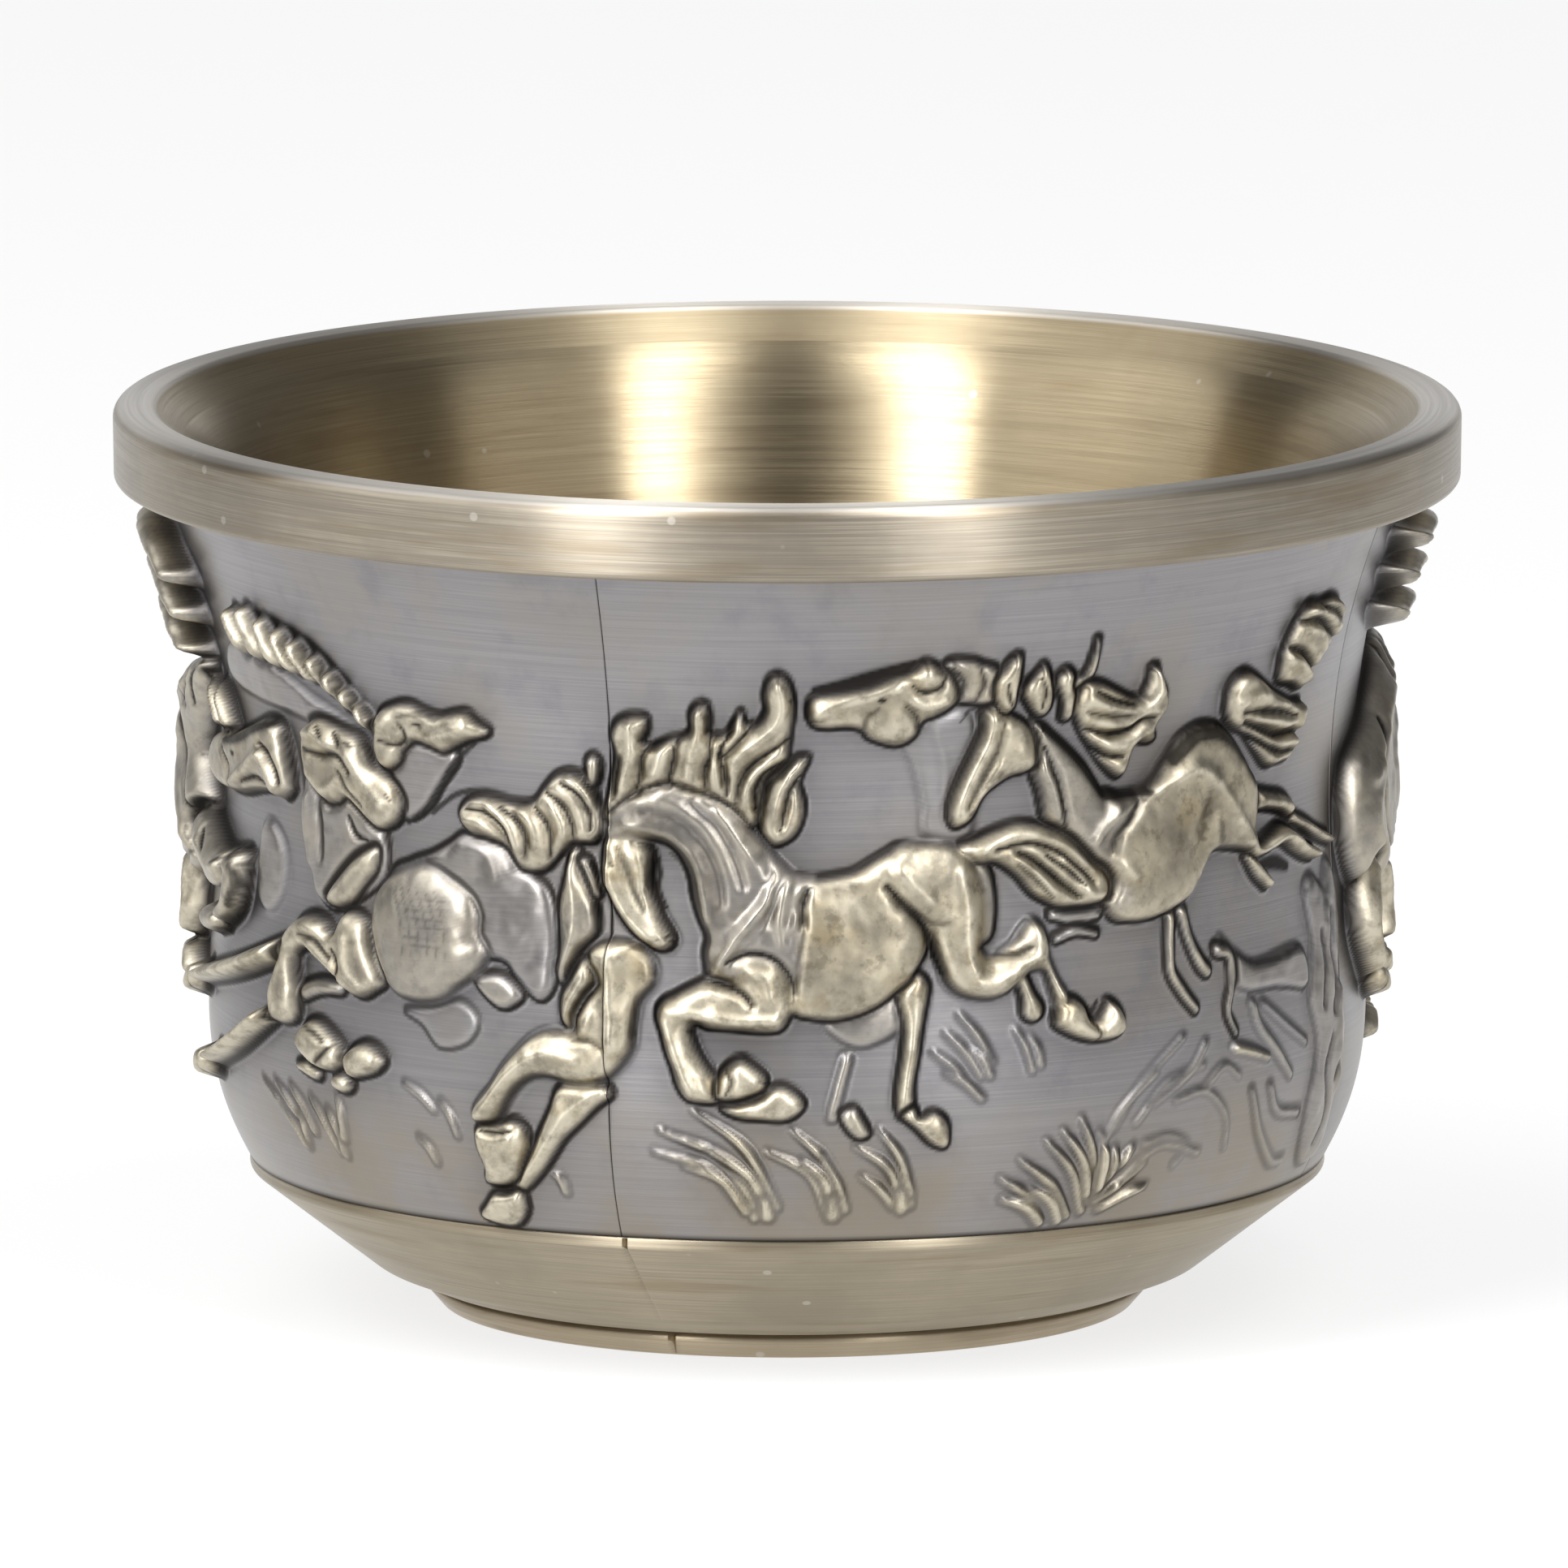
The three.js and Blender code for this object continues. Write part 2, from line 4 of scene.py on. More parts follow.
import bmesh
import bpy
import numpy as np
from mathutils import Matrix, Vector


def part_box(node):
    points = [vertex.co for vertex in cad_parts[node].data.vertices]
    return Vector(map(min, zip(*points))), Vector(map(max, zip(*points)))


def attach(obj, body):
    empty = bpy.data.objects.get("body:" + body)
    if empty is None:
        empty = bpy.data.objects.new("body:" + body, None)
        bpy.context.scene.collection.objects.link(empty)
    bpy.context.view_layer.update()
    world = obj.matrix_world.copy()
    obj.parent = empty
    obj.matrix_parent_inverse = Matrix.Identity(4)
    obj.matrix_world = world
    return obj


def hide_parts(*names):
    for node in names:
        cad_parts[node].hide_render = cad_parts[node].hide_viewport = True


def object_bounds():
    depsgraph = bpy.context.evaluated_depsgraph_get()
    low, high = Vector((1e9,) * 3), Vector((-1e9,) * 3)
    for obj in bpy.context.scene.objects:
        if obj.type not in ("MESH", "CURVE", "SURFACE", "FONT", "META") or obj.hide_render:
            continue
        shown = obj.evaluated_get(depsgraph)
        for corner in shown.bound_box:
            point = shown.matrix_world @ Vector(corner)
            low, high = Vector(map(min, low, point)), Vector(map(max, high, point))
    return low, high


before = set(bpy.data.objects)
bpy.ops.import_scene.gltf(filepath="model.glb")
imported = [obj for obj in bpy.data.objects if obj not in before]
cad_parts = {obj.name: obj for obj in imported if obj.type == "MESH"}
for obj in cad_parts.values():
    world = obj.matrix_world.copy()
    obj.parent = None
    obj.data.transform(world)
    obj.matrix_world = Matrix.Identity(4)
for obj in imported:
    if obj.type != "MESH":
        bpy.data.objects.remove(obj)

cad_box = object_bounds()

MM = 0.001

# Wall, in millimetres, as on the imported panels
WALL_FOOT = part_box("relief_panel_front_right")[0].z / MM
TENON_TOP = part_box("relief_panel_front_right")[1].z / MM
WALL_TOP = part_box("rim_collar")[0].z / MM
WALL_THICKNESS = 1.3
WAIST_HEIGHT = 20.0
WALL_CURVE = [
    [(27.8, 37.05), (26.49, 33.55), (25.25, 30.0), (25.25, 23.8)],
    [(25.25, 23.8), (25.25, 20.5), (25.77, 16.9), (25.77, 13.6)],
    [(25.77, 13.6), (25.77, 10.3), (24.83, 8.35), (23.95, 6.75)],
]
CURVE_STEPS = 40

# Turned pieces, in millimetres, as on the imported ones
CUP_TOP = round(cad_box[1][2] / MM, 3)
RIM_RADIUS = round(cad_box[1][0] / MM, 3)
RIM_FOOT = round(WALL_TOP, 3)
FLANGE_TOP = 39.0
COLLAR_BORE = 28.1
SLOPE_FOOT = 26.8
LINER_GAP, LINER_THICKNESS = 1.6, 0.7
LINER_FLOOR = 4.8
BAND_RADIUS, BAND_TOP = 23.95, 6.75
FOOT_TOP = 1.2
PLATE_FOOT, PLATE_TOP = 3.3, 4.5

# Frieze: half a turn of it is drawn, from one seam to the seam after next, and then repeated
FRIEZE_LENGTH = 80.1
SEAM_ANGLE = math.radians(-17.7)
SEAM_GAP = 0.03
PANEL_FIELDS = ("lift", "hollow", "crest", "tone")

# Raised forms: how soft their edges are, and the share of their swelling that is kept
EDGE_SOFTNESS = 0.4
FLATNESS = 0.65
# Dark line round a form, of patina with painted shade: its place outside the edge and its half width, and
# what is added above the form, where the painted shade is widest
LINE_PLACE, LINE_WIDTH = 0.06, 0.14
UPPER_PLACE, UPPER_WIDTH = 0.07, 0.09
# Casting: random grain and lumps of the raised forms; and the dark joint lines with painted shadow under
# the rim and over the band
CASTING_SEED = 5
GRAIN_HEIGHT, LUMP_HEIGHT = 0.06, 0.5
RIM_LINE, BAND_LINE = 0.2, 0.16
FRIEZE_START = (SEAM_ANGLE - math.pi / 2) / math.pi * FRIEZE_LENGTH
PANEL_COLUMNS = 334
WALL_ROWS = 254
INNER_ROWS = 12


def bezier(a, b, c, d, steps):
    """Points along a cubic curve."""
    t = np.linspace(0, 1, steps + 1)[:, None]
    a, b, c, d = (np.array(p, float) for p in (a, b, c, d))
    return a * (1 - t) ** 3 + 3 * b * t * (1 - t) ** 2 + 3 * c * t**2 * (1 - t) + d * t**3


WALL_POINTS = np.vstack([bezier(*curve, CURVE_STEPS) for curve in WALL_CURVE])[::-1]


def wall_radius(z):
    """Radius of the wall's bare outer face at a height."""
    return np.interp(z, WALL_POINTS[:, 1], WALL_POINTS[:, 0])


def smooth_line(ends, step):
    """Points every step along a smooth line, from the second of its stops to the last but one."""
    rows = []
    for a, b, c, d in zip(ends[:-3], ends[1:-2], ends[2:-1], ends[3:]):
        count = max(2, int(np.hypot(*(c - b)[:2]) / step))
        t = np.linspace(0, 1, count, endpoint=False)[:, None]
        bend = (2 * a - 5 * b + 4 * c - d) * t**2 + (3 * b - a - 3 * c + d) * t**3
        rows.append(0.5 * (2 * b + (c - a) * t + bend))
    return np.vstack(rows)


def spline(stops, step=0.1):
    """A smooth line through stops of (u, v) or (u, v, half width)."""
    p = np.array(stops, float)
    line = smooth_line(np.vstack([2 * p[0] - p[1], p, 2 * p[-1] - p[-2]]), step)
    return np.vstack([line, p[-1:]])


class Frieze:
    """Height of the relief over the unrolled wall, u along it and v up it, in millimetres."""

    def __init__(self):
        self.u = FRIEZE_START + np.linspace(0, FRIEZE_LENGTH, 2 * PANEL_COLUMNS + 1)
        self.v = np.linspace(WALL_FOOT, WALL_TOP, WALL_ROWS)
        self.height = np.zeros((len(self.v), len(self.u)))
        self.tone = np.zeros_like(self.height)
        # Strength of the dark lines: patina with painted shade
        self.patina_and_shade = np.zeros_like(self.height)

    def windows(self, line, margin):
        """The patches of the wall that a line touches, each with its places in the line's own repeat."""
        for shift in (-FRIEZE_LENGTH, 0.0, FRIEZE_LENGTH):
            c0, c1 = np.searchsorted(self.u - shift, [line[:, 0].min() - margin, line[:, 0].max() + margin])
            r0, r1 = np.searchsorted(self.v, [line[:, 1].min() - margin, line[:, 1].max() + margin])
            if c1 > c0 and r1 > r0:
                yield (slice(r0, r1), slice(c0, c1)), *np.meshgrid(self.u[c0:c1] - shift, self.v[r0:r1])

    def lay(self, patch, away, swell, top, edge, tone, join, patina_and_shade):
        """Lays a swelling over what is there, with a dark line round it of patina and painted shade, widest
        above the form.
        A joined one grows out of what lies under it. Away is the distance outside its edge."""
        height = self.height[patch]
        cover = np.clip(0.5 - away / EDGE_SOFTNESS, 0, 1)
        cover = cover**2 * (3 - 2 * cover)
        lifted = edge + (top - edge) * FLATNESS * np.clip(swell, 0, 1.25)
        # The dark line is patina with painted shade, made wider above the form
        over = np.clip(np.gradient(away, self.v[1] - self.v[0], axis=0), 0, 1)
        beside = (away - LINE_PLACE - UPPER_PLACE * over) / (LINE_WIDTH + UPPER_WIDTH * over)
        line = patina_and_shade * np.exp(-(beside**4))
        if join:
            line = line * np.clip(1 - height / edge, 0, 1)
            ease = join * 0.25 * np.clip(1 - np.abs(lifted - height) / join, 0, None) ** 2
            lifted = np.where(height > edge * 0.5, np.maximum(lifted, height) + ease, lifted)
            dug = height
        else:
            dug = height * (1 - 0.6 * np.exp(-((np.clip(away, 0, None) / 0.2) ** 2)))
        self.height[patch] = dug + (lifted - dug) * cover
        self.tone[patch] += (tone - self.tone[patch]) * cover
        self.patina_and_shade[patch] = np.maximum(self.patina_and_shade[patch] * (1 - cover), line)

    def form(self, strokes, top, edge=0.3, tone=1.0, join=0.0, patina_and_shade=1.0):
        """A swelling along strokes, each of stops of (u, v, half width)."""
        for stops in strokes:
            line = spline(stops)
            line[:, 2] = np.maximum(line[:, 2], 0.06)
            for patch, uu, vv in self.windows(line, line[:, 2].max() + 0.6):
                swell = np.zeros(uu.shape)
                away = np.full(uu.shape, 9.0)
                for su, sv, width in line:
                    d = np.hypot(uu - su, vv - sv)
                    away = np.minimum(away, d - width)
                    swell = np.maximum(swell, np.clip(1 - (d / width) ** 2, 0, None) ** 0.6)
                self.lay(patch, away, swell, top, edge, tone, join, patina_and_shade)

    def shape(self, top, width, *places, edge=0.25, tone=1.0, join=0.0, patina_and_shade=1.0):
        """A swelling inside a closed smooth outline through places u, v, u, v..., rounded over a width."""
        p = np.reshape(places, (-1, 2))
        line = smooth_line(np.vstack([p[-1:], p, p[:2]]), 0.15)
        for patch, uu, vv in self.windows(line, 0.6):
            away = np.full(uu.shape, 9.0)
            inside = np.zeros(uu.shape, bool)
            for (au, av), (bu, bv) in zip(line, np.roll(line, -1, axis=0)):
                du, dv = bu - au, bv - av
                along = np.clip(((uu - au) * du + (vv - av) * dv) / (du * du + dv * dv + 1e-12), 0, 1)
                away = np.minimum(away, np.hypot(uu - au - along * du, vv - av - along * dv))
                if dv:
                    inside ^= ((av > vv) != (bv > vv)) & (uu < au + (vv - av) * du / dv)
            depth = np.clip(np.where(inside, away, 0) / width, 0, 1)
            swell = (depth * (2 - depth)) ** 0.6
            self.lay(patch, np.where(inside, -away, away), swell, top, edge, tone, join, patina_and_shade)

    def cut(self, width, depth, *places, patina_and_shade=None):
        """An incised line of a half width, thinner at its ends, through places u, v, u, v...; patina with
        painted shade darkens it
        """
        patina_and_shade = min(depth / 0.3, 1) if patina_and_shade is None else patina_and_shade
        line = spline(np.reshape(places, (-1, 2)))
        widths = width * (0.65 + 0.35 * np.sin(np.linspace(0, math.pi, len(line))))
        for patch, uu, vv in self.windows(line, 2 * width + 0.4):
            dig = np.zeros(uu.shape)
            for (su, sv), reach in zip(line, widths):
                dig = np.maximum(dig, np.exp(-((np.hypot(uu - su, vv - sv) / reach) ** 2)))
            self.height[patch] -= depth * dig * np.clip(self.height[patch] / 0.3, 0, 1)
            self.patina_and_shade[patch] = np.maximum(self.patina_and_shade[patch], patina_and_shade * np.clip(1.6 * dig**2, 0, 1))

    def ridge(self, width, rise, *places):
        """A soft raised line."""
        self.cut(width, -rise, *places, patina_and_shade=0)

    def dark_line_and_shade(self, width, patina_and_shade, *places):
        """A dark line with no depth: dark marks such as eyes, and painted shade in bands along the tops of
        forms and across them.
        """
        self.cut(width, 0, *places, patina_and_shade=patina_and_shade)

    def swell(self, u, v, ru, rv, rise, turn=0.0):
        """A soft oval rise, or a hollow, in what is there."""
        c, s = math.cos(math.radians(turn)), math.sin(math.radians(turn))
        for shift in (-FRIEZE_LENGTH, 0.0, FRIEZE_LENGTH):
            uu, vv = np.meshgrid(self.u - u - shift, self.v - v)
            a, b = (uu * c + vv * s) / ru, (-uu * s + vv * c) / rv
            self.height += rise * np.exp(-(a * a + b * b)) * np.clip(self.height / 0.4, 0, 1)

    def blurred(self, field, cells, passes=3):
        """A round blur: passes of a small box, wrapping round the wall."""
        margin = passes * cells + 2
        out = np.pad(field[:, :-1], ((margin, margin), (0, 0)), mode="edge")
        for axis in (0, 1) * passes:
            out = sum(np.roll(out, k, axis=axis) for k in range(-cells, cells + 1)) / (2 * cells + 1)
        out = out[margin:-margin]
        return np.hstack([out, out[:, :1]])


def blade(f, tip, root, lean, width, rise, tone):
    """One blade of grass, from its thin tip to its root, bowed to one side."""
    mid = ((tip[0] + root[0]) / 2 + lean, (tip[1] + root[1]) / 2 + abs(lean))
    f.form([[(*tip, 0.08), (*mid, width), (*root, width * 0.9)]], rise, edge=0.1, tone=tone, patina_and_shade=0.35)


def ground(f):
    """Grass and stems on the ground under the horses."""
    # bent blades under the centre horse
    for tip, root, lean in (
        ((-5.6, 11.9), (-1.0, 7.9), 0.7), ((-4.2, 12.9), (-0.5, 8.4), 0.5),
        ((-2.6, 10.0), (-1.5, 7.9), 0.2), ((-0.9, 11.0), (1.9, 7.9), 0.5), ((0.2, 12.0), (2.4, 8.2), 0.4),
        ((1.6, 10.6), (2.6, 8.3), 0.1), ((3.0, 11.2), (5.2, 8.3), 0.4), ((3.3, 9.8), (4.8, 8.4), 0.1),
        ((5.4, 9.9), (5.6, 8.4), 0.0), ((-3.4, 11.0), (-0.8, 8.0), 0.4), ((0.6, 10.6), (2.0, 8.4), 0.3),
        ((4.0, 12.0), (5.5, 9.0), 0.2), ((-5.9, 10.9), (-2.2, 8.6), 0.5),
        ((-4.6, 10.3), (-1.9, 8.2), 0.4),
    ):
        blade(f, tip, root, lean, 0.22, 0.8, 1.0)
    for root in ((-0.9, 8.0), (2.1, 8.0), (5.2, 8.3)):
        f.form([[(root[0] - 0.1, root[1] + 0.7, 0.2), (*root, 0.32)]], 0.6, edge=0.15, patina_and_shade=0.3)
    # tuft on the right
    for tip, root in (
        ((9.7, 9.4), (12.2, 7.3)), ((10.6, 10.2), (13.4, 7.4)), ((11.8, 11.0), (14.2, 7.6)),
        ((13.5, 11.9), (14.4, 8.0)), ((16.4, 10.4), (14.4, 8.2)), ((17.2, 9.5), (14.9, 8.0)),
        ((11.2, 8.9), (13.0, 7.2)), ((15.4, 10.4), (14.8, 8.4)), ((17.6, 8.4), (15.2, 7.6)),
        ((12.6, 11.4), (14.2, 8.4)), ((14.5, 11.2), (14.7, 8.6)), ((9.9, 8.4), (12.0, 7.2)),
    ):
        blade(f, tip, root, 0.2, 0.26, 0.85, 1.0)
    # long thin stems and curls to the right
    for line in (
        [(15.2, 11.2), (16.6, 13.2), (19.0, 15.0)], [(14.8, 10.8), (15.6, 12.2), (17.4, 13.6)],
        [(16.4, 11.4), (18.0, 13.0), (20.2, 13.6)],
        [(17.0, 10.4), (18.4, 10.6), (19.6, 10.0), (19.0, 9.2)], [(16.0, 9.0), (18.0, 10.2), (20.4, 9.6)],
        [(20.4, 12.6), (21.6, 13.4), (22.6, 12.8)],
        [(18.6, 12.2), (20.4, 12.4), (21.8, 11.2), (22.2, 9.6)],
        [(17.4, 12.2), (19.4, 13.4), (20.4, 14.6)],
    ):
        f.form([[(*p, 0.12) for p in line]], 0.35, edge=0.1, tone=0.8, patina_and_shade=0.25)
    # rough tufts on the left
    for tip, root in (
        ((-28.8, 11.8), (-25.5, 9.5)), ((-27.6, 11.9), (-25.2, 9.9)), ((-26.2, 11.9), (-24.6, 10.0)),
        ((-24.6, 11.6), (-23.0, 9.3)), ((-25.6, 10.8), (-25.4, 9.3)), ((-23.4, 11.2), (-22.6, 9.2)),
        ((-22.6, 12.0), (-22.4, 10.0)), ((-27.0, 10.6), (-25.6, 9.2)), ((-10.9, 9.7), (-10.2, 8.8)),
    ):
        blade(f, tip, root, 0.15, 0.2, 0.5, 0.9)
    # thin blades between the horses
    for tip, root in (
        ((7.0, 16.2), (8.6, 14.2)), ((7.6, 17.0), (9.1, 14.8)), ((10.2, 16.2), (11.0, 14.3)),
        ((10.9, 15.8), (11.4, 14.5)), ((6.4, 15.4), (8.2, 13.6)), ((-17.6, 10.6), (-16.8, 9.6)),
        ((-16.2, 12.4), (-15.4, 11.0)), ((-18.2, 13.0), (-16.6, 12.0)), ((8.2, 15.4), (9.0, 14.2)),
        ((7.0, 14.4), (8.6, 13.2)),
    ):
        blade(f, tip, root, 0.1, 0.16, 0.45, 0.9)


def rock(f):
    """Ledge, leaves and an upright ridge at the right."""
    f.shape(0.5, 1.2, 28.4, 20.2, 29.2, 20.9, 30.4, 20.2, 31.0, 21.3, 31.8, 20.6, 32.1, 18.2, 31.6, 16.4,
        32.2, 13.6, 31.7, 10.6, 31.9, 8.0, 30.4, 7.6, 29.2, 8.4, 28.6, 10.4, 29.0, 13.2, 28.3, 15.6,
        28.8, 18.0, edge=0.12, tone=0.15, patina_and_shade=0.5)
    f.cut(0.2, 0.2, 30.9, 19.2, 30.5, 17.6, 31.0, 16.2, 30.6, 14.6)
    f.cut(0.18, 0.2, 29.6, 18.4, 29.8, 16.6, 29.4, 15.0)
    f.cut(0.18, 0.2, 30.4, 13.6, 29.8, 12.0, 30.6, 10.2, 30.2, 8.6)
    f.cut(0.14, 0.2, 31.4, 12.6, 30.9, 11.4)
    f.ridge(0.26, 0.15, 30.2, 19.4, 29.9, 17.4, 30.3, 15.4)
    f.ridge(0.24, 0.15, 31.3, 15.6, 31.1, 13.4, 31.4, 11.0)
    f.shape(0.35, 0.4, 21.5, 19.1, 22.6, 18.3, 24.0, 17.7, 27.6, 17.9, 28.0, 16.1, 25.4, 16.5, 23.2, 16.6,
        22.2, 17.2, tone=0.15, patina_and_shade=0.5)
    f.dark_line_and_shade(0.2, 0.8, 21.6, 19.1, 22.6, 18.3, 23.6, 17.8, 25.2, 17.7, 27.6, 18.0)
    f.dark_line_and_shade(0.18, 0.8, 23.3, 16.4, 25.0, 16.4, 26.6, 16.2, 27.8, 15.9)
    f.form([[(21.3, 18.6, 0.3), (22.0, 18.3, 0.24), (22.1, 17.0, 0.18), (21.8, 15.8, 0.18),
        (22.3, 14.8, 0.16)]], 0.4, edge=0.12, tone=0.7)
    f.form([[(22.3, 14.1, 0.28), (23.4, 13.8, 0.24), (24.6, 13.4, 0.2)]], 0.6, edge=0.15, patina_and_shade=0.3)
    f.form([[(23.6, 15.9, 0.24), (24.0, 14.9, 0.28), (25.4, 13.5, 0.28), (26.6, 12.3, 0.2)]], 0.3,
        edge=0.1, tone=0.5, patina_and_shade=0.4)
    f.form([[(24.4, 15.8, 0.18), (26.2, 14.6, 0.2), (27.9, 13.6, 0.16)]], 0.25, edge=0.1, tone=0.3,
        patina_and_shade=0.4)
    f.form([[(23.6, 12.0, 0.15), (24.6, 10.0, 0.2), (26.4, 8.4, 0.2), (27.6, 8.2, 0.2)],
        [(25.0, 12.0, 0.18), (25.8, 10.8, 0.2), (27.8, 10.4, 0.2)]], 0.25, edge=0.1, tone=0.3, patina_and_shade=0.4)


def head_behind(f):
    """The low head and neck between the centre and the right horse."""
    f.shape(0.3, 0.6, 5.1, 29.4, 5.6, 28.0, 6.0, 26.4, 6.2, 25.0, 8.2, 25.0, 8.4, 27.4, 8.2, 30.2,
        6.4, 30.4, edge=0.12, tone=0.1, patina_and_shade=0.3)
    f.ridge(0.16, 0.16, 5.2, 29.0, 5.65, 27.8, 6.0, 26.4, 6.15, 25.2)
    f.ridge(0.2, 0.08, 6.5, 29.6, 6.9, 28.2, 7.0, 26.6)
    # mane and ears
    f.shape(0.6, 0.4, 6.6, 31.2, 6.8, 32.8, 7.9, 32.9, 8.5, 32.7, 9.2, 32.4, 9.9, 31.4, 9.2, 30.8,
        8.0, 30.9, 7.4, 31.0, tone=0.6)
    f.cut(0.14, 0.25, 7.1, 32.6, 7.6, 31.9, 7.5, 31.2)
    f.cut(0.12, 0.25, 8.3, 32.5, 8.5, 31.8, 8.2, 31.1)
    # head
    f.shape(0.85, 0.7, 0.9, 31.15, 0.85, 30.6, 1.1, 30.1, 1.7, 29.95, 2.6, 30.0, 3.2, 29.85, 3.5, 29.5,
        4.1, 29.25, 4.7, 29.1, 5.2, 29.25, 5.6, 29.6, 5.9, 30.2, 6.4, 30.4, 7.0, 30.7, 7.4, 31.2,
        7.0, 32.2, 6.0, 32.9, 5.3, 32.5, 4.6, 32.3, 3.6, 31.9, 2.4, 31.65, 1.3, 31.45, edge=0.3)
    # Painted shade with patina: a dark band along the top of the head
    f.dark_line_and_shade(0.42, 1.0, 1.2, 31.7, 2.4, 31.95, 3.6, 32.3, 4.6, 32.6, 5.4, 32.85)
    f.cut(0.14, 0.16, 3.3, 29.9, 3.4, 30.5, 3.9, 30.9)
    f.cut(0.12, 0.3, 5.3, 31.9, 5.8, 31.6, 6.5, 31.75, 6.8, 32.3)
    f.cut(0.12, 0.25, 5.7, 29.9, 5.5, 30.5, 5.0, 31.0)
    f.ridge(0.18, 0.25, 5.3, 31.2, 6.1, 30.9, 6.9, 31.1)
    f.ridge(0.25, 0.2, 1.2, 30.6, 2.2, 31.1, 3.4, 31.45, 4.7, 31.8)
    f.swell(6.0, 32.3, 0.4, 0.4, 0.25)
    f.swell(4.5, 30.0, 0.7, 0.6, 0.15)
    f.dark_line_and_shade(0.17, 1.0, 3.9, 31.3, 4.1, 31.3)
    f.cut(0.08, 0.2, 0.9, 30.4, 1.6, 30.3)


def right_horse(f):
    """The horse at the right, leaping with its tail up."""
    f.dark_line_and_shade(0.5, 1.0, 24.3, 25.0, 25.4, 24.6, 26.8, 24.1)
    f.dark_line_and_shade(0.5, 1.0, 24.8, 22.0, 26.0, 21.9, 27.0, 21.6)
    # fine far legs under the body
    f.form([[(18.4, 20.6, 0.3), (18.3, 19.0, 0.26), (18.35, 18.0, 0.26), (19.0, 17.0, 0.26),
        (19.7, 16.2, 0.22)]], 0.5, edge=0.15, tone=0.9)
    f.form([[(19.1, 20.6, 0.3), (19.5, 19.3, 0.26), (20.1, 18.2, 0.3), (20.5, 17.8, 0.3)]], 0.5,
        edge=0.15, tone=0.9)
    # tail curled up behind
    f.shape(1.0, 0.6, 25.2, 30.2, 25.1, 31.2, 25.4, 32.2, 25.9, 33.0, 26.6, 33.6, 27.6, 33.5, 28.6, 33.6,
        29.6, 33.2, 30.1, 32.4, 29.8, 31.7, 29.2, 31.4, 28.4, 31.0, 28.0, 30.4, 27.9, 29.8, 27.0, 29.6,
        26.2, 29.9)
    f.cut(0.2, 0.5, 25.5, 31.7, 26.4, 31.4, 27.0, 30.9, 27.8, 30.3)
    f.cut(0.18, 0.4, 25.9, 32.8, 27.0, 32.8, 28.2, 32.2, 29.2, 31.6)
    f.cut(0.14, 0.4, 27.4, 33.3, 28.6, 33.0, 29.8, 32.3)
    f.ridge(0.2, 0.2, 25.3, 31.2, 26.2, 30.9, 27.2, 30.2)
    f.ridge(0.22, 0.2, 26.4, 32.4, 27.4, 32.0, 28.0, 31.3)
    f.ridge(0.18, 0.2, 26.3, 33.3, 27.6, 32.9, 29.0, 32.2)
    f.shape(1.0, 0.6, 21.6, 29.0, 21.5, 30.0, 21.9, 30.7, 22.6, 31.0, 23.4, 30.7, 24.4, 30.1, 25.4, 29.6,
        26.6, 29.1, 27.6, 28.9, 27.4, 27.7, 27.0, 26.6, 25.8, 26.4, 24.8, 26.4, 23.8, 27.3, 23.0, 28.1,
        22.0, 28.5)
    f.cut(0.22, 0.55, 22.6, 28.7, 24.0, 28.2, 25.2, 27.8, 26.4, 27.8, 27.4, 27.5)
    f.cut(0.2, 0.45, 23.2, 28.0, 24.4, 27.4, 25.6, 27.0, 26.8, 26.9)
    f.cut(0.16, 0.3, 22.3, 29.2, 23.6, 29.1, 25.0, 28.9, 26.4, 28.5)
    f.ridge(0.24, 0.2, 22.0, 29.6, 23.2, 29.9, 24.4, 29.4, 25.6, 29.1)
    f.ridge(0.18, 0.2, 23.4, 28.7, 24.6, 28.5, 26.0, 28.1)
    # far hind leg and its hoof
    f.form([[(24.0, 25.0, 0.5), (25.2, 24.8, 0.4), (26.4, 24.5, 0.42), (27.1, 24.0, 0.4)]], 0.85,
        edge=0.3)
    f.form([[(27.2, 23.7, 0.3), (28.6, 23.2, 0.3), (30.0, 22.6, 0.28), (31.3, 22.2, 0.26)]], 0.8,
        edge=0.25)
    f.form([[(23.7, 22.6, 0.42), (24.2, 21.8, 0.36), (24.9, 21.2, 0.34)]], 0.8, edge=0.3)
    # body, croup and thigh
    f.shape(1.35, 1.5, 14.6, 26.3, 15.6, 26.2, 16.6, 26.3, 17.4, 26.8, 18.0, 27.5, 18.7, 28.3, 19.4, 28.7,
        20.2, 28.9, 21.2, 28.7, 21.9, 28.2, 22.6, 27.5, 23.2, 26.8, 23.7, 26.2, 24.0, 25.4, 24.0, 24.4,
        23.95, 23.6, 24.3, 23.0, 25.2, 23.3, 26.2, 23.6, 27.2, 23.2, 28.4, 22.5, 29.5, 22.1, 29.4, 21.6,
        28.4, 21.7, 27.2, 22.2, 26.2, 22.7, 25.2, 22.5, 24.2, 22.4, 23.4, 22.75, 22.4, 23.0, 21.2, 23.1,
        20.6, 22.6, 20.1, 21.9, 19.4, 21.2, 18.4, 20.8, 17.2, 20.5, 16.0, 20.5, 15.0, 20.8, 14.6, 22.4,
        14.4, 24.4, edge=0.3)
    f.swell(20.3, 24.6, 0.65, 1.6, -0.45, -25)
    f.swell(17.3, 23.2, 1.5, 1.5, 0.15)
    f.ridge(0.36, 0.3, 16.8, 26.2, 18.0, 26.7, 19.2, 27.1, 20.2, 26.6, 21.2, 25.6, 22.0, 24.6, 23.2, 23.2)
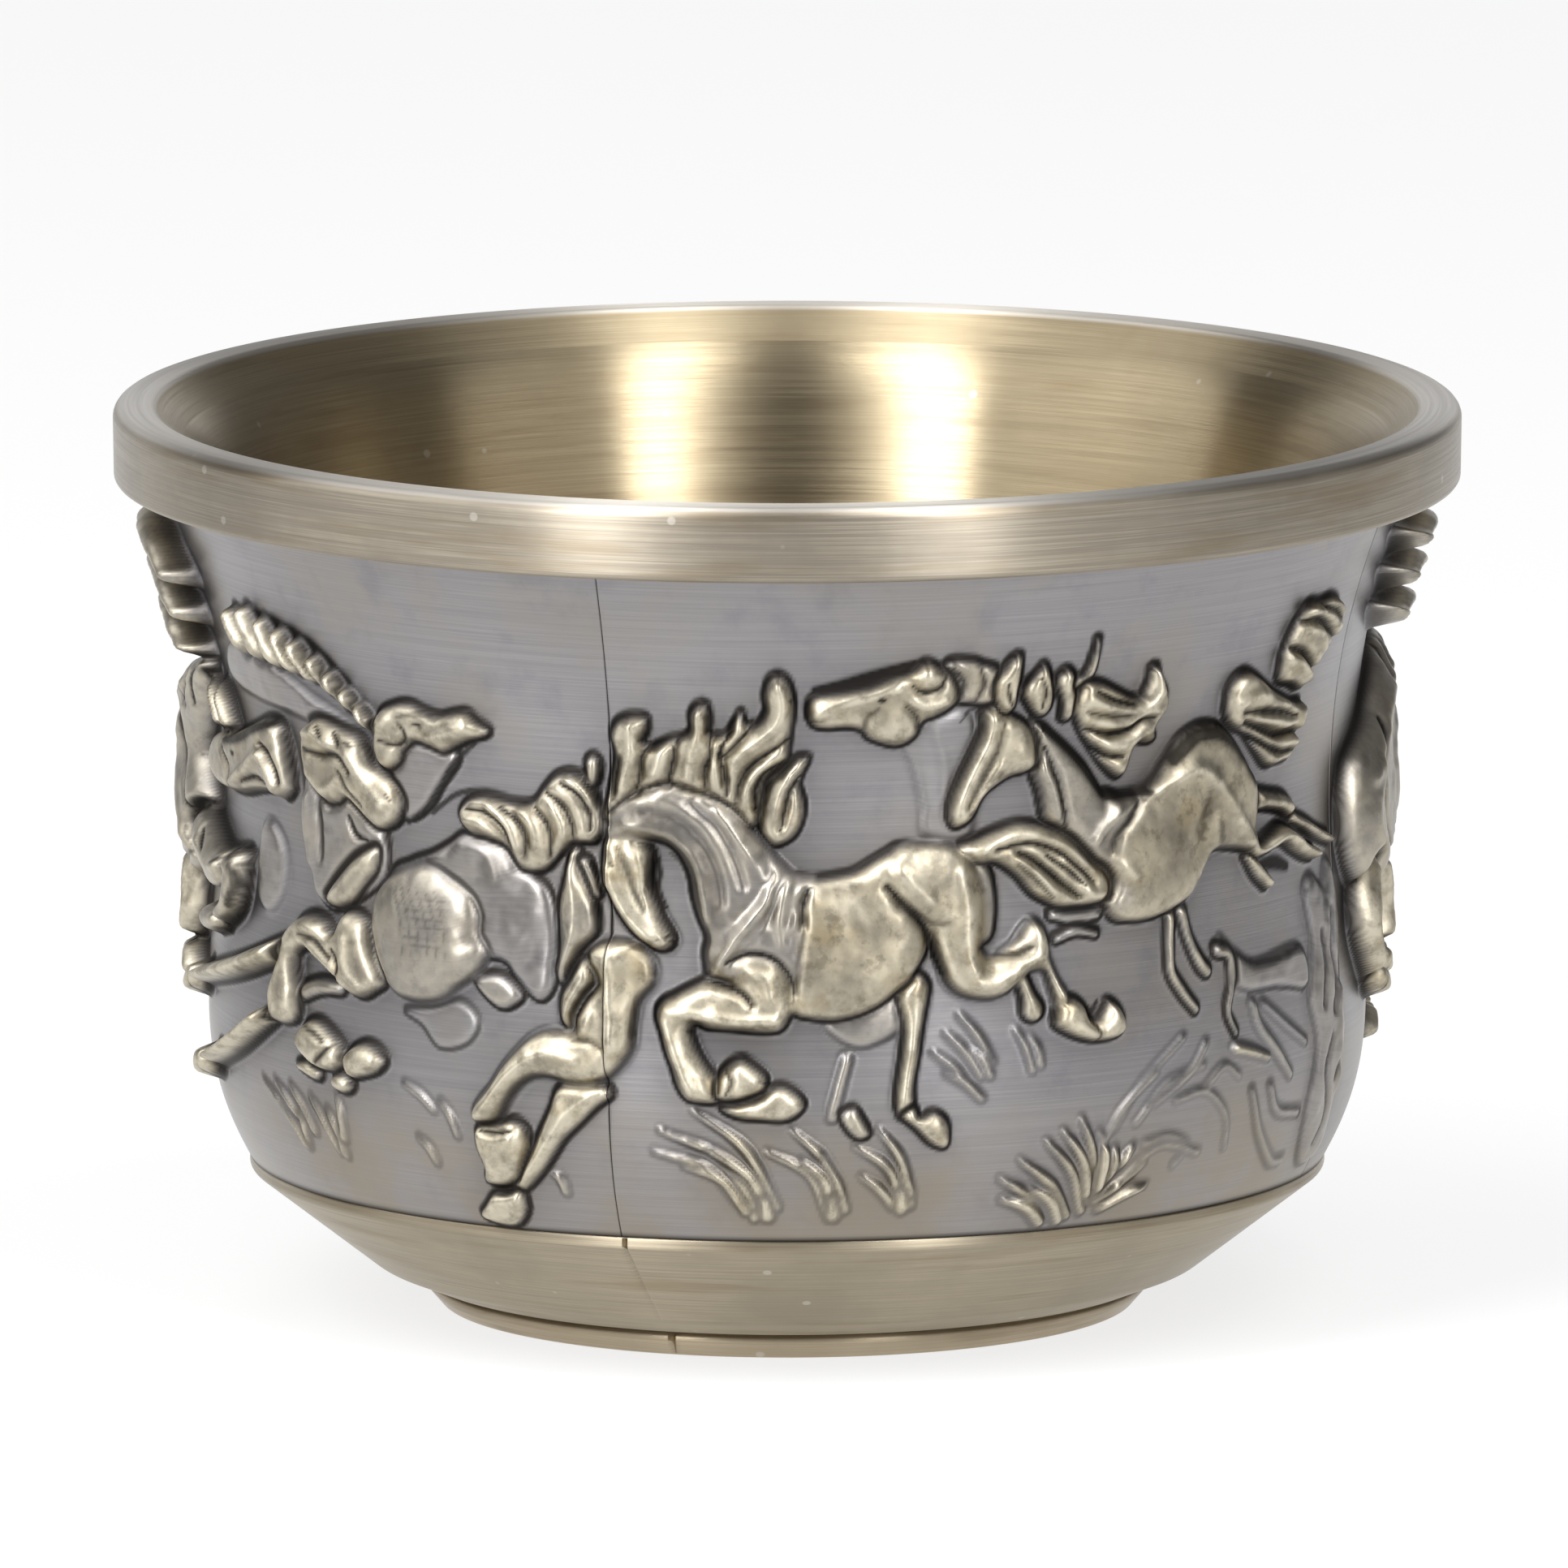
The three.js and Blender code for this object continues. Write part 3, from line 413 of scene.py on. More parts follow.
    # Painted shade: dark bands along the top of the croup and down the flank
    f.dark_line_and_shade(0.5, 0.95, 18.2, 27.5, 19.4, 28.4, 20.6, 28.5, 21.7, 28.0, 22.7, 27.0, 23.4, 26.0)
    f.dark_line_and_shade(0.22, 0.5, 21.0, 24.6, 21.1, 23.9, 21.3, 23.3)
    f.cut(0.14, 0.15, 20.2, 22.2, 21.4, 22.8, 22.8, 22.9)
    f.ridge(0.2, 0.2, 24.4, 22.9, 25.6, 23.2, 26.8, 23.0, 28.2, 22.3, 29.3, 21.9)
    # neck and chest grow out of the body
    f.shape(1.1, 1.0, 10.8, 29.8, 11.4, 29.7, 12.0, 29.2, 12.8, 28.5, 13.6, 27.7, 14.2, 26.9, 14.7, 26.3,
        15.6, 26.1, 16.5, 26.1, 15.9, 25.2, 15.2, 24.5, 14.9, 23.4, 15.5, 22.4, 15.8, 21.8, 15.4, 21.0,
        14.4, 21.4, 13.2, 23.4, 12.4, 24.8, 11.7, 25.4, 11.5, 26.0, 11.3, 26.8, 11.0, 27.5, 10.8, 28.6,
        edge=0.3, tone=0.55, join=0.3)
    # Painted shade: a dark band along the crest of the neck
    f.dark_line_and_shade(0.42, 1.0, 11.4, 29.6, 12.2, 29.0, 13.2, 28.0, 14.1, 26.9, 14.8, 26.3, 16.8, 26.3)
    f.cut(0.14, 0.3, 11.4, 28.8, 12.0, 27.4, 12.4, 26.0, 12.6, 25.0)
    f.cut(0.16, 0.25, 16.4, 26.0, 15.8, 25.2, 15.1, 24.5, 14.9, 23.8)
    f.ridge(0.2, 0.25, 11.2, 28.2, 11.7, 27.2, 12.0, 26.2, 12.1, 25.4)
    f.ridge(0.3, 0.2, 15.2, 25.6, 14.5, 25.0, 13.9, 24.3)
    f.ridge(0.25, 0.15, 15.3, 23.2, 15.9, 22.6)
    # mane
    f.shape(0.85, 0.4, 10.3, 31.4, 10.9, 32.1, 11.3, 32.5, 11.6, 32.0, 11.8, 31.2, 11.7, 30.4, 11.2, 30.1,
        10.7, 30.6)
    f.cut(0.1, 0.3, 11.1, 31.9, 11.3, 31.3, 11.2, 30.6)
    f.shape(0.85, 0.3, 11.9, 31.7, 12.4, 32.2, 12.8, 31.8, 12.95, 30.8, 12.75, 29.9, 12.3, 29.9,
        12.2, 30.8)
    f.form([[(13.0, 31.5, 0.24), (13.5, 31.9, 0.22), (13.7, 32.8, 0.16), (13.75, 33.4, 0.1)]], 0.7,
        edge=0.2)
    f.shape(1.0, 0.6, 13.0, 31.0, 13.4, 31.5, 14.2, 31.4, 15.0, 31.0, 15.8, 30.6, 16.3, 30.6, 16.6, 31.2,
        16.7, 31.8, 17.1, 31.9, 17.4, 31.2, 17.8, 30.6, 17.8, 30.1, 17.5, 29.5, 17.2, 29.0, 17.4, 28.6,
        16.9, 28.4, 16.3, 28.5, 16.0, 28.0, 15.8, 27.4, 15.4, 27.0, 14.9, 27.3, 14.4, 27.8, 13.8, 28.6,
        13.3, 29.3, 12.9, 30.2)
    f.cut(0.18, 0.45, 13.5, 29.4, 14.6, 29.1, 15.6, 29.2, 16.3, 29.6, 16.9, 29.6)
    f.cut(0.18, 0.45, 13.8, 28.6, 14.6, 28.1, 15.4, 28.0)
    f.cut(0.16, 0.35, 13.8, 31.1, 14.8, 30.6, 15.8, 30.3)
    f.cut(0.12, 0.25, 13.4, 30.2, 14.6, 29.9, 15.8, 29.8)
    f.ridge(0.2, 0.2, 13.4, 30.7, 14.8, 30.3, 16.2, 30.1, 17.1, 30.7, 17.1, 31.5)
    f.ridge(0.16, 0.18, 14.0, 29.6, 15.4, 29.5, 16.6, 29.9, 17.5, 29.9)
    f.ridge(0.18, 0.18, 14.4, 28.6, 15.6, 28.6, 16.8, 29.1)
    # head
    f.shape(1.25, 0.8, 8.5, 30.4, 8.5, 29.7, 8.1, 28.7, 7.6, 27.6, 7.2, 26.6, 7.1, 25.9, 7.35, 25.35,
        7.8, 25.4, 8.3, 25.8, 8.6, 26.4, 8.9, 26.8, 9.3, 27.1, 10.0, 27.5, 10.7, 27.65, 11.1, 28.0,
        11.1, 28.7, 10.9, 29.4, 10.5, 29.9, 10.0, 30.2, 9.5, 30.6, 9.0, 30.7, edge=0.35)
    f.dark_line_and_shade(0.12, 0.8, 7.6, 30.1, 8.0, 30.55, 8.4, 30.5)
    f.ridge(0.2, 0.25, 8.9, 30.2, 8.6, 29.0, 8.0, 27.8, 7.5, 26.4)
    f.ridge(0.18, 0.18, 9.4, 28.2, 8.7, 27.2, 8.3, 26.3)
    f.cut(0.14, 0.22, 9.4, 30.0, 9.1, 28.7, 8.4, 27.3, 7.9, 26.2)
    f.swell(10.3, 28.6, 0.5, 0.5, 0.15)
    f.cut(0.07, 0.2, 8.0, 25.9, 8.3, 26.0)
    # ears and forelock
    f.shape(0.95, 0.4, 9.2, 30.7, 9.0, 31.6, 9.3, 32.3, 9.75, 32.9, 10.15, 33.0, 10.2, 32.2, 10.1, 31.4,
        10.0, 30.6, 9.6, 30.4)
    f.cut(0.1, 0.3, 9.5, 31.8, 9.6, 31.2, 9.8, 30.7)


def head_above(f):
    """The head over the left horse's back, with its mane blown back to the left."""
    f.shape(0.5, 0.6, -31.4, 31.2, -27.4, 30.8, -24.6, 29.8, -21.4, 28.6, -23.0, 28.2, -26.0, 28.6,
        -29.4, 28.8, -32.0, 29.4, edge=0.15, tone=0.15, patina_and_shade=0.4)
    f.dark_line_and_shade(0.55, 1.0, -29.8, 32.7, -27.8, 32.8, -25.6, 32.5, -23.6, 31.9, -21.6, 30.6)
    for u, v, size in (
        (-29.6, 31.9, 0.6), (-28.2, 32.0, 0.7), (-26.7, 31.8, 0.65), (-25.3, 31.6, 0.6),
        (-24.1, 31.3, 0.55), (-23.0, 30.8, 0.5), (-22.0, 30.2, 0.5), (-21.1, 29.6, 0.45),
        (-20.3, 29.1, 0.4),
    ):
        f.form([[(u - 0.4, v + size, size * 0.7), (u + 0.4, v - size, size * 0.8)]], 1.15, edge=0.25,
            tone=0.9, patina_and_shade=0.8)
        f.ridge(0.2, 0.2, u - 0.3, v + size, u + 0.3, v - size)
    f.shape(0.5, 0.5, -19.2, 27.2, -18.2, 28.2, -16.4, 28.3, -15.3, 27.9, -16.3, 26.5, -17.0, 25.5,
        -18.2, 24.8, -19.2, 25.4, tone=0.15)
    f.dark_line_and_shade(0.18, 0.9, -13.9, 29.0, -14.8, 28.35, -15.6, 27.5, -16.4, 26.4, -17.2, 25.4, -18.4, 24.6)
    f.shape(0.95, 0.6, -19.7, 29.4, -18.7, 29.95, -17.8, 30.1, -17.0, 29.85, -16.2, 29.7, -15.4, 29.9,
        -14.7, 30.0, -14.2, 29.65, -13.6, 29.25, -13.9, 28.95, -14.6, 28.75, -15.3, 28.4, -16.0, 28.1,
        -16.8, 28.3, -17.6, 28.4, -18.2, 28.0, -18.5, 27.4, -19.1, 27.0, -19.7, 27.1, -20.0, 28.0,
        edge=0.3, tone=0.9)
    f.dark_line_and_shade(0.16, 0.6, -18.2, 29.5, -17.2, 29.7, -16.2, 29.5)
    f.ridge(0.22, 0.25, -16.6, 28.7, -15.6, 29.0, -14.5, 29.4)
    f.ridge(0.22, 0.25, -19.3, 28.9, -18.7, 29.4)
    f.cut(0.12, 0.28, -18.2, 29.2, -17.9, 28.7, -18.4, 28.2, -19.4, 28.3)
    f.cut(0.1, 0.3, -17.4, 29.3, -16.9, 29.2)


def left_horse(f):
    """The horse at the left, its head turned forward and its tail blown up."""
    # neck
    f.shape(0.7, 0.8, -24.9, 26.2, -25.3, 25.0, -25.2, 23.4, -24.8, 22.0, -24.2, 20.8, -22.8, 20.2,
        -21.0, 21.0, -19.6, 22.2, -19.6, 23.8, -20.6, 25.2, -22.6, 26.0, edge=0.2, tone=0.25)
    f.ridge(0.3, 0.2, -24.8, 25.0, -24.7, 23.6, -24.4, 22.2)
    f.cut(0.18, 0.25, -24.0, 25.2, -23.8, 23.8, -23.7, 22.4)
    f.cut(0.16, 0.35, -21.8, 24.6, -21.4, 23.8, -20.6, 23.6)
    f.shape(0.95, 0.6, -20.0, 23.4, -21.2, 22.9, -22.2, 22.1, -23.0, 21.2, -23.3, 20.7, -22.6, 20.4,
        -21.6, 20.7, -20.8, 21.5, -20.0, 22.4, tone=0.8)
    f.ridge(0.24, 0.18, -20.6, 22.8, -21.6, 22.0, -22.6, 21.0)
    # back, thigh, then the barrel in front of it
    f.shape(0.75, 1.4, -19.4, 22.2, -18.2, 22.95, -17.0, 23.4, -16.0, 23.95, -15.2, 24.45, -14.0, 24.4,
        -13.2, 24.2, -12.4, 23.6, -11.6, 22.9, -10.9, 22.4, -10.5, 21.4, -10.4, 20.2, -10.4, 19.0,
        -10.5, 18.0, -11.0, 17.4, -11.6, 17.6, -12.4, 18.4, -13.0, 19.0, -14.4, 19.2, -16.0, 20.0,
        -19.0, 20.0, edge=0.12, tone=0.15)
    f.ridge(0.3, 0.15, -14.6, 24.0, -13.8, 23.6, -13.3, 22.6)
    # Painted shade: a broad dark band down the thigh
    f.dark_line_and_shade(1.2, 0.4, -13.6, 23.2, -12.4, 21.4, -11.6, 19.2)
    f.swell(-11.5, 19.4, 0.6, 1.5, -0.15, -12)
    f.swell(-12.2, 22.2, 0.6, 0.8, -0.1, 30)
    f.shape(0.5, 0.4, -14.4, 18.1, -13.2, 18.4, -12.2, 17.9, -12.0, 17.4, -12.8, 16.9, -13.6, 17.2,
        tone=0.4)
    f.shape(0.2, 0.5, -18.2, 16.3, -17.2, 15.8, -16.2, 14.9, -14.8, 15.2, -14.2, 16.2, -15.2, 17.0,
        -16.6, 16.6, edge=0.12, tone=0.2, patina_and_shade=0.8)
    f.shape(1.5, 2.0, -19.3, 22.1, -18.0, 22.7, -16.8, 22.9, -15.6, 22.4, -14.6, 21.8, -14.15, 21.0,
        -14.15, 20.2, -13.75, 19.4, -14.2, 18.4, -15.2, 17.7, -16.2, 17.05, -17.4, 16.85, -18.5, 17.0,
        -19.2, 17.5, -19.7, 18.4, -20.1, 19.6, -20.2, 20.6, -19.9, 21.5, edge=0.3, tone=0.5, patina_and_shade=0.65)
    for k in range(6):
        f.cut(0.07, 0.05, -18.6 + 0.45 * k, 22.0, -17.9 + 0.45 * k, 20.6, -17.7 + 0.45 * k, 19.0, patina_and_shade=0.4)
        f.cut(0.07, 0.05, -17.6, 19.4 + 0.4 * k, -15.4, 19.5 + 0.4 * k, patina_and_shade=0.4)
    # head
    f.shape(1.2, 0.9, -24.9, 27.0, -24.8, 27.8, -24.4, 28.4, -23.7, 28.75, -22.9, 28.7, -22.0, 28.5,
        -21.2, 28.3, -20.6, 27.9, -20.2, 27.2, -19.6, 26.8, -19.0, 26.5, -18.5, 26.0, -18.35, 25.4,
        -18.7, 24.7, -19.3, 24.3, -19.9, 24.25, -20.6, 24.6, -21.3, 25.1, -21.9, 25.4, -22.4, 25.1,
        -23.2, 25.0, -24.0, 25.4, -24.7, 26.2, edge=0.35, tone=0.9)
    f.ridge(0.26, 0.25, -24.4, 28.1, -23.4, 28.2, -22.4, 27.8)
    f.ridge(0.24, 0.2, -21.2, 27.4, -20.2, 26.3, -19.2, 25.4)
    f.ridge(0.28, 0.2, -24.2, 26.2, -23.2, 25.6, -22.2, 26.0)
    f.cut(0.16, 0.28, -24.4, 27.3, -23.2, 27.2, -22.0, 27.3, -21.2, 26.6)
    f.cut(0.14, 0.25, -21.9, 26.6, -21.4, 25.8, -20.6, 25.2)
    f.cut(0.1, 0.3, -23.4, 28.5, -22.8, 28.0)
    f.cut(0.1, 0.3, -22.3, 28.3, -21.8, 27.8)
    f.dark_line_and_shade(0.14, 0.8, -21.5, 28.0, -21.0, 27.8)
    f.dark_line_and_shade(0.1, 0.7, -19.0, 25.9, -18.8, 25.7)
    # tail
    f.dark_line_and_shade(0.22, 0.9, -17.0, 25.2, -15.6, 26.2, -14.0, 26.5, -12.4, 26.2, -11.0, 26.2)
    f.shape(0.9, 0.7, -15.4, 25.3, -14.9, 26.0, -13.8, 26.3, -12.6, 26.1, -11.6, 26.2, -11.0, 26.9,
        -10.4, 27.5, -9.6, 27.7, -8.8, 27.3, -8.4, 26.4, -8.2, 25.3, -8.6, 24.6, -9.6, 24.5, -10.3, 23.9,
        -11.0, 23.2, -12.1, 23.2, -12.9, 24.1, -13.8, 24.4, -14.8, 24.6, edge=0.3, tone=0.85)
    f.shape(0.7, 0.3, -9.0, 28.2, -8.6, 28.5, -8.3, 28.0, -8.5, 27.2, -8.9, 27.3, tone=0.7)
    for stops in (
        (-14.8, 25.7, -13.8, 25.6, -12.9, 25.0, -12.6, 24.2),
        (-13.0, 25.9, -12.2, 25.4, -11.8, 24.6, -11.9, 23.8),
        (-11.4, 26.1, -10.8, 25.4, -10.6, 24.6, -10.7, 23.8),
        (-10.8, 26.8, -10.0, 26.2, -9.6, 25.4, -9.5, 24.7),
        (-10.0, 27.2, -9.3, 26.8, -8.8, 26.0, -8.7, 25.2),
    ):
        f.cut(0.13, 0.35, *stops)
    for stops in (
        (-14.8, 25.2, -13.9, 25.1, -13.2, 24.7), (-13.6, 26.0, -12.6, 25.2, -12.2, 24.2),
        (-12.0, 25.9, -11.3, 25.2, -11.2, 24.2), (-10.4, 26.2, -10.0, 25.4, -10.0, 24.8),
        (-9.8, 27.4, -9.1, 27.0, -8.7, 26.4),
    ):
        f.ridge(0.24, 0.3, *stops)
    # flank beside the seam
    f.shape(0.9, 0.6, -10.3, 21.8, -10.0, 23.2, -9.8, 24.1, -9.4, 24.3, -9.2, 23.4, -8.8, 22.6,
        -8.5, 21.6, -8.5, 20.6, -9.2, 19.8, -9.8, 18.8, -10.1, 18.2, -10.35, 18.8, -10.2, 19.8, tone=0.6)
    f.ridge(0.22, 0.2, -9.8, 23.4, -9.5, 22.0, -9.5, 20.6, -9.9, 19.2)
    f.form([[(-9.1, 23.7, 0.2), (-8.7, 22.9, 0.22), (-8.5, 22.3, 0.16)]], 0.8, edge=0.3, tone=0.6)
    # far hind leg and hoof
    f.shape(0.95, 0.5, -8.1, 13.9, -7.7, 13.4, -8.4, 12.8, -9.2, 12.0, -9.9, 11.3, -10.4, 10.6,
        -11.0, 9.8, -11.8, 9.0, -12.5, 8.6, -12.8, 8.9, -12.2, 9.6, -11.6, 10.6, -11.1, 11.6, -10.6, 12.6,
        -10.2, 13.6, -9.4, 14.0, edge=0.25)
    f.shape(1.0, 0.6, -12.4, 8.7, -13.2, 8.5, -13.9, 8.4, -14.5, 7.8, -14.9, 7.3, -14.2, 7.0, -13.2, 6.95,
        -12.6, 7.3, -12.2, 8.0, edge=0.25)
    f.ridge(0.22, 0.16, -8.6, 13.4, -9.8, 12.4, -10.8, 10.8, -12.0, 9.4)
    # near hind leg: thigh on the seam, then the shank and hoof
    f.shape(1.0, 0.5, -9.1, 19.4, -9.7, 18.4, -10.1, 17.6, -10.0, 16.6, -9.5, 16.2, -9.2, 17.0,
        -8.7, 18.0, -8.4, 18.9, tone=0.9)
    f.shape(1.3, 0.9, -8.9, 19.6, -8.3, 20.2, -7.4, 20.4, -6.5, 20.2, -5.9, 19.4, -5.9, 18.5, -6.5, 17.7,
        -6.7, 16.6, -6.8, 15.6, -7.3, 14.8, -7.9, 14.2, -8.8, 13.9, -9.6, 13.9, -10.6, 14.1, -11.4, 14.0,
        -12.1, 13.5, -12.6, 12.8, -13.0, 12.1, -13.4, 11.6, -14.0, 11.6, -14.4, 12.1, -14.1, 12.7,
        -13.5, 13.4, -12.9, 14.3, -12.3, 15.0, -11.6, 15.7, -10.8, 16.1, -9.9, 16.2, -9.4, 16.2,
        -9.4, 16.9, -8.9, 17.8, -8.4, 18.5, edge=0.25, patina_and_shade=0.7)
    f.cut(0.14, 0.35, -8.2, 18.4, -8.9, 17.6, -9.3, 16.8, -9.4, 16.2)
    f.cut(0.14, 0.18, -9.3, 15.9, -8.6, 15.9, -8.0, 15.6)
    f.swell(-6.5, 19.0, 0.6, 1.0, -0.35)
    f.ridge(0.28, 0.2, -7.9, 19.6, -7.8, 18.2, -7.6, 16.8, -7.6, 15.6)
    f.ridge(0.2, 0.15, -8.6, 17.2, -8.8, 16.4)
    f.ridge(0.26, 0.2, -9.2, 15.0, -10.8, 15.2, -12.2, 14.3, -13.6, 12.6)
    f.shape(1.2, 0.8, -14.2, 11.5, -14.3, 10.6, -14.0, 9.7, -14.1, 9.0, -13.2, 8.9, -12.4, 9.3,
        -11.9, 10.2, -11.6, 11.0, -11.8, 11.7, -12.4, 12.0, -13.2, 11.7, edge=0.3)
    f.cut(0.12, 0.35, -13.9, 11.4, -13.0, 11.4, -12.2, 11.6)
    f.swell(-12.3, 11.2, 0.25, 0.4, 0.2)
    # forelegs folded in front
    f.shape(0.7, 0.4, -25.4, 13.0, -24.4, 12.6, -23.6, 12.5, -23.4, 12.9, -24.2, 13.3)
    f.shape(0.75, 0.4, -22.6, 12.8, -21.9, 13.1, -21.2, 12.6, -21.6, 12.2, -22.4, 12.3)
    f.form([[(-24.8, 16.3, 0.4), (-23.6, 16.7, 0.36), (-22.2, 16.8, 0.3)]], 0.6, edge=0.2, tone=0.5)
    f.shape(1.2, 0.7, -21.9, 20.3, -20.6, 20.0, -19.95, 18.7, -19.35, 17.8, -19.3, 17.3, -19.9, 16.9,
        -20.5, 16.6, -21.3, 16.7, -22.2, 17.3, -23.4, 17.9, -24.4, 18.3, -25.2, 18.0, -25.3, 17.4,
        -25.1, 16.6, -25.0, 15.8, -25.2, 15.0, -26.0, 14.7, -26.8, 14.8, -27.1, 15.4, -26.9, 16.2,
        -26.5, 17.2, -26.4, 18.0, -26.1, 18.8, -25.4, 19.5, -24.4, 19.85, -23.4, 19.7, -22.6, 19.2,
        edge=0.25, tone=0.9)
    f.cut(0.14, 0.35, -22.3, 18.6, -21.9, 18.0, -21.9, 17.5)
    f.cut(0.18, 0.25, -24.6, 19.0, -23.4, 18.8, -22.4, 18.2)
    f.ridge(0.2, 0.2, -26.0, 18.6, -25.2, 19.3, -24.2, 19.5, -23.2, 19.3)
    f.ridge(0.16, 0.2, -24.2, 18.5, -22.8, 17.9, -21.4, 17.1)
    f.ridge(0.24, 0.2, -21.5, 19.2, -21.3, 18.0, -20.5, 17.2)
    f.ridge(0.24, 0.2, -26.2, 17.4, -26.4, 16.2, -26.2, 15.3)
    f.shape(1.2, 0.7, -25.0, 14.2, -24.5, 15.0, -23.6, 15.2, -22.6, 14.8, -21.8, 14.2, -21.6, 13.6,
        -22.2, 13.15, -23.4, 13.1, -24.4, 13.5, edge=0.3)
    f.cut(0.14, 0.25, -24.2, 14.9, -23.2, 14.7, -22.6, 14.4)
    f.cut(0.14, 0.25, -23.2, 13.4, -22.6, 13.9, -22.2, 14.3)
    f.shape(1.2, 0.7, -21.6, 13.8, -21.2, 14.3, -20.4, 14.6, -19.6, 14.4, -19.15, 13.9, -19.6, 13.4,
        -20.4, 13.1, -21.2, 13.0, edge=0.3)


def centre_horse(f):
    """The foremost horse, its head tucked to its chest."""
    # far legs
    f.shape(0.4, 0.5, 1.6, 16.8, 2.2, 16.1, 3.1, 15.7, 4.0, 15.9, 4.8, 16.3, 5.6, 16.8, 5.8, 18.4,
        4.4, 18.4, 2.6, 17.4, edge=0.15, tone=0.4, patina_and_shade=0.6)
    f.form([[(2.6, 15.2, 0.24), (2.3, 14.1, 0.24), (2.05, 13.1, 0.26), (1.95, 12.6, 0.24)]], 0.4,
        edge=0.12, tone=0.6, patina_and_shade=0.5)
    f.shape(0.5, 0.3, 2.3, 12.7, 2.9, 13.0, 3.3, 12.5, 3.6, 11.8, 3.1, 11.6, 2.6, 12.0, tone=0.7)
    f.form([[(5.5, 18.2, 0.75), (5.5, 16.8, 0.46), (5.35, 15.4, 0.4), (5.15, 14.2, 0.38),
        (5.1, 13.3, 0.42), (5.2, 12.8, 0.4)]], 0.95, edge=0.25)
    f.shape(1.0, 0.5, 5.0, 12.6, 5.6, 12.0, 6.3, 11.3, 7.0, 11.1, 7.1, 11.8, 6.9, 12.4, 6.4, 12.7,
        5.8, 12.5, 5.5, 13.0, edge=0.3)
    f.form([[(10.5, 18.4, 0.3), (10.8, 17.6, 0.34), (11.0, 17.0, 0.5)]], 0.75, edge=0.25)
    # buttock behind the near thigh
    f.shape(0.6, 0.4, 8.4, 24.0, 9.0, 23.6, 9.3, 22.6, 9.35, 21.4, 9.15, 20.4, 8.6, 20.2, 8.2, 22.0,
        tone=0.3)
    # tail
    f.form([[(12.1, 21.1, 0.2), (13.2, 20.9, 0.26), (14.4, 21.0, 0.24)], [(12.3, 20.0, 0.16),
        (13.3, 20.3, 0.2), (14.3, 20.1, 0.16)]], 0.4, edge=0.15, tone=0.5)
    f.shape(1.15, 0.8, 7.6, 24.4, 8.6, 24.85, 9.6, 25.2, 10.4, 25.35, 11.3, 25.25, 12.1, 24.95,
        12.9, 24.5, 13.4, 24.0, 14.0, 23.4, 14.6, 23.0, 14.95, 22.4, 14.9, 21.9, 14.5, 21.55, 13.9, 21.45,
        13.0, 21.45, 12.3, 21.5, 11.6, 21.8, 11.0, 22.2, 10.4, 22.9, 9.8, 23.4, 9.2, 23.7, 8.8, 23.7,
        8.2, 23.8, edge=0.3)
    f.cut(0.18, 0.5, 10.3, 24.1, 10.9, 23.8, 11.7, 23.2, 12.4, 22.6, 13.3, 21.9)
    f.cut(0.16, 0.3, 9.2, 24.3, 10.8, 24.5, 12.2, 24.0, 13.2, 23.2, 14.0, 22.5)
    f.cut(0.14, 0.3, 11.6, 23.9, 12.6, 23.2, 13.5, 22.4)
    f.cut(0.12, 0.2, 10.2, 23.6, 11.0, 22.9, 11.9, 22.0)
    f.ridge(0.22, 0.2, 8.4, 24.3, 10.0, 24.9, 11.6, 24.7, 12.8, 24.1, 13.9, 23.1)
    f.ridge(0.2, 0.25, 10.2, 23.8, 11.1, 23.1, 11.9, 22.2)
    f.ridge(0.2, 0.2, 12.4, 23.6, 13.2, 22.9, 13.8, 22.0, 14.5, 21.9)
    # mane: a mass of hair over the crest, then its locks
    f.shape(1.15, 0.6, -8.0, 25.6, -7.9, 27.0, -7.6, 28.6, -7.75, 29.5, -7.5, 30.1, -6.9, 30.4,
        -6.2, 30.35, -6.1, 29.9, -6.3, 29.3, -5.9, 29.1, -5.2, 29.4, -4.5, 29.6, -4.2, 29.9, -4.2, 30.6,
        -3.9, 31.0, -3.5, 31.0, -3.35, 30.4, -3.35, 29.7, -2.7, 29.7, -2.3, 30.3, -2.0, 30.7, -1.8, 30.2,
        -1.3, 30.2, -0.95, 30.8, -1.0, 31.5, -0.8, 32.2, -0.35, 32.4, 0.1, 32.0, 0.3, 31.0, 0.2, 30.0,
        0.1, 29.2, 0.0, 28.5, -0.6, 27.9, -1.1, 27.3, -1.1, 26.4, -1.6, 25.4, -3.0, 25.8, -5.0, 26.2,
        edge=0.3)
    f.shape(1.0, 0.5, -1.1, 26.6, -0.8, 27.6, -0.2, 28.1, 0.4, 28.6, 0.95, 28.6, 0.7, 28.0, 0.55, 27.4,
        0.75, 26.6, 0.7, 25.9, 0.4, 25.2, -0.1, 24.8, -0.7, 24.7, -1.2, 25.4, edge=0.3, tone=0.8)
    for stops in (
        (-5.9, 29.3, -6.3, 28.6, -6.4, 27.8, -6.6, 27.0),
        (-4.8, 29.4, -4.9, 28.6, -5.1, 27.8, -5.2, 27.3),
        (-3.3, 29.6, -3.3, 28.8, -3.6, 28.0, -3.5, 27.2),
        (-2.4, 29.9, -2.9, 28.9, -2.7, 28.0, -2.6, 27.0), (-1.5, 30.1, -2.2, 29.3, -2.9, 28.6),
        (0.1, 29.6, -0.7, 29.0, -1.6, 28.3, -2.1, 27.4, -2.2, 26.6),
        (-0.2, 28.5, -1.0, 28.0, -1.4, 27.2, -1.4, 26.4), (-7.3, 28.6, -7.5, 27.6, -7.6, 26.6),
        (0.5, 27.8, 0.1, 27.2, -0.1, 26.4, -0.3, 25.4),
    ):
        f.cut(0.13, 0.4, *stops)
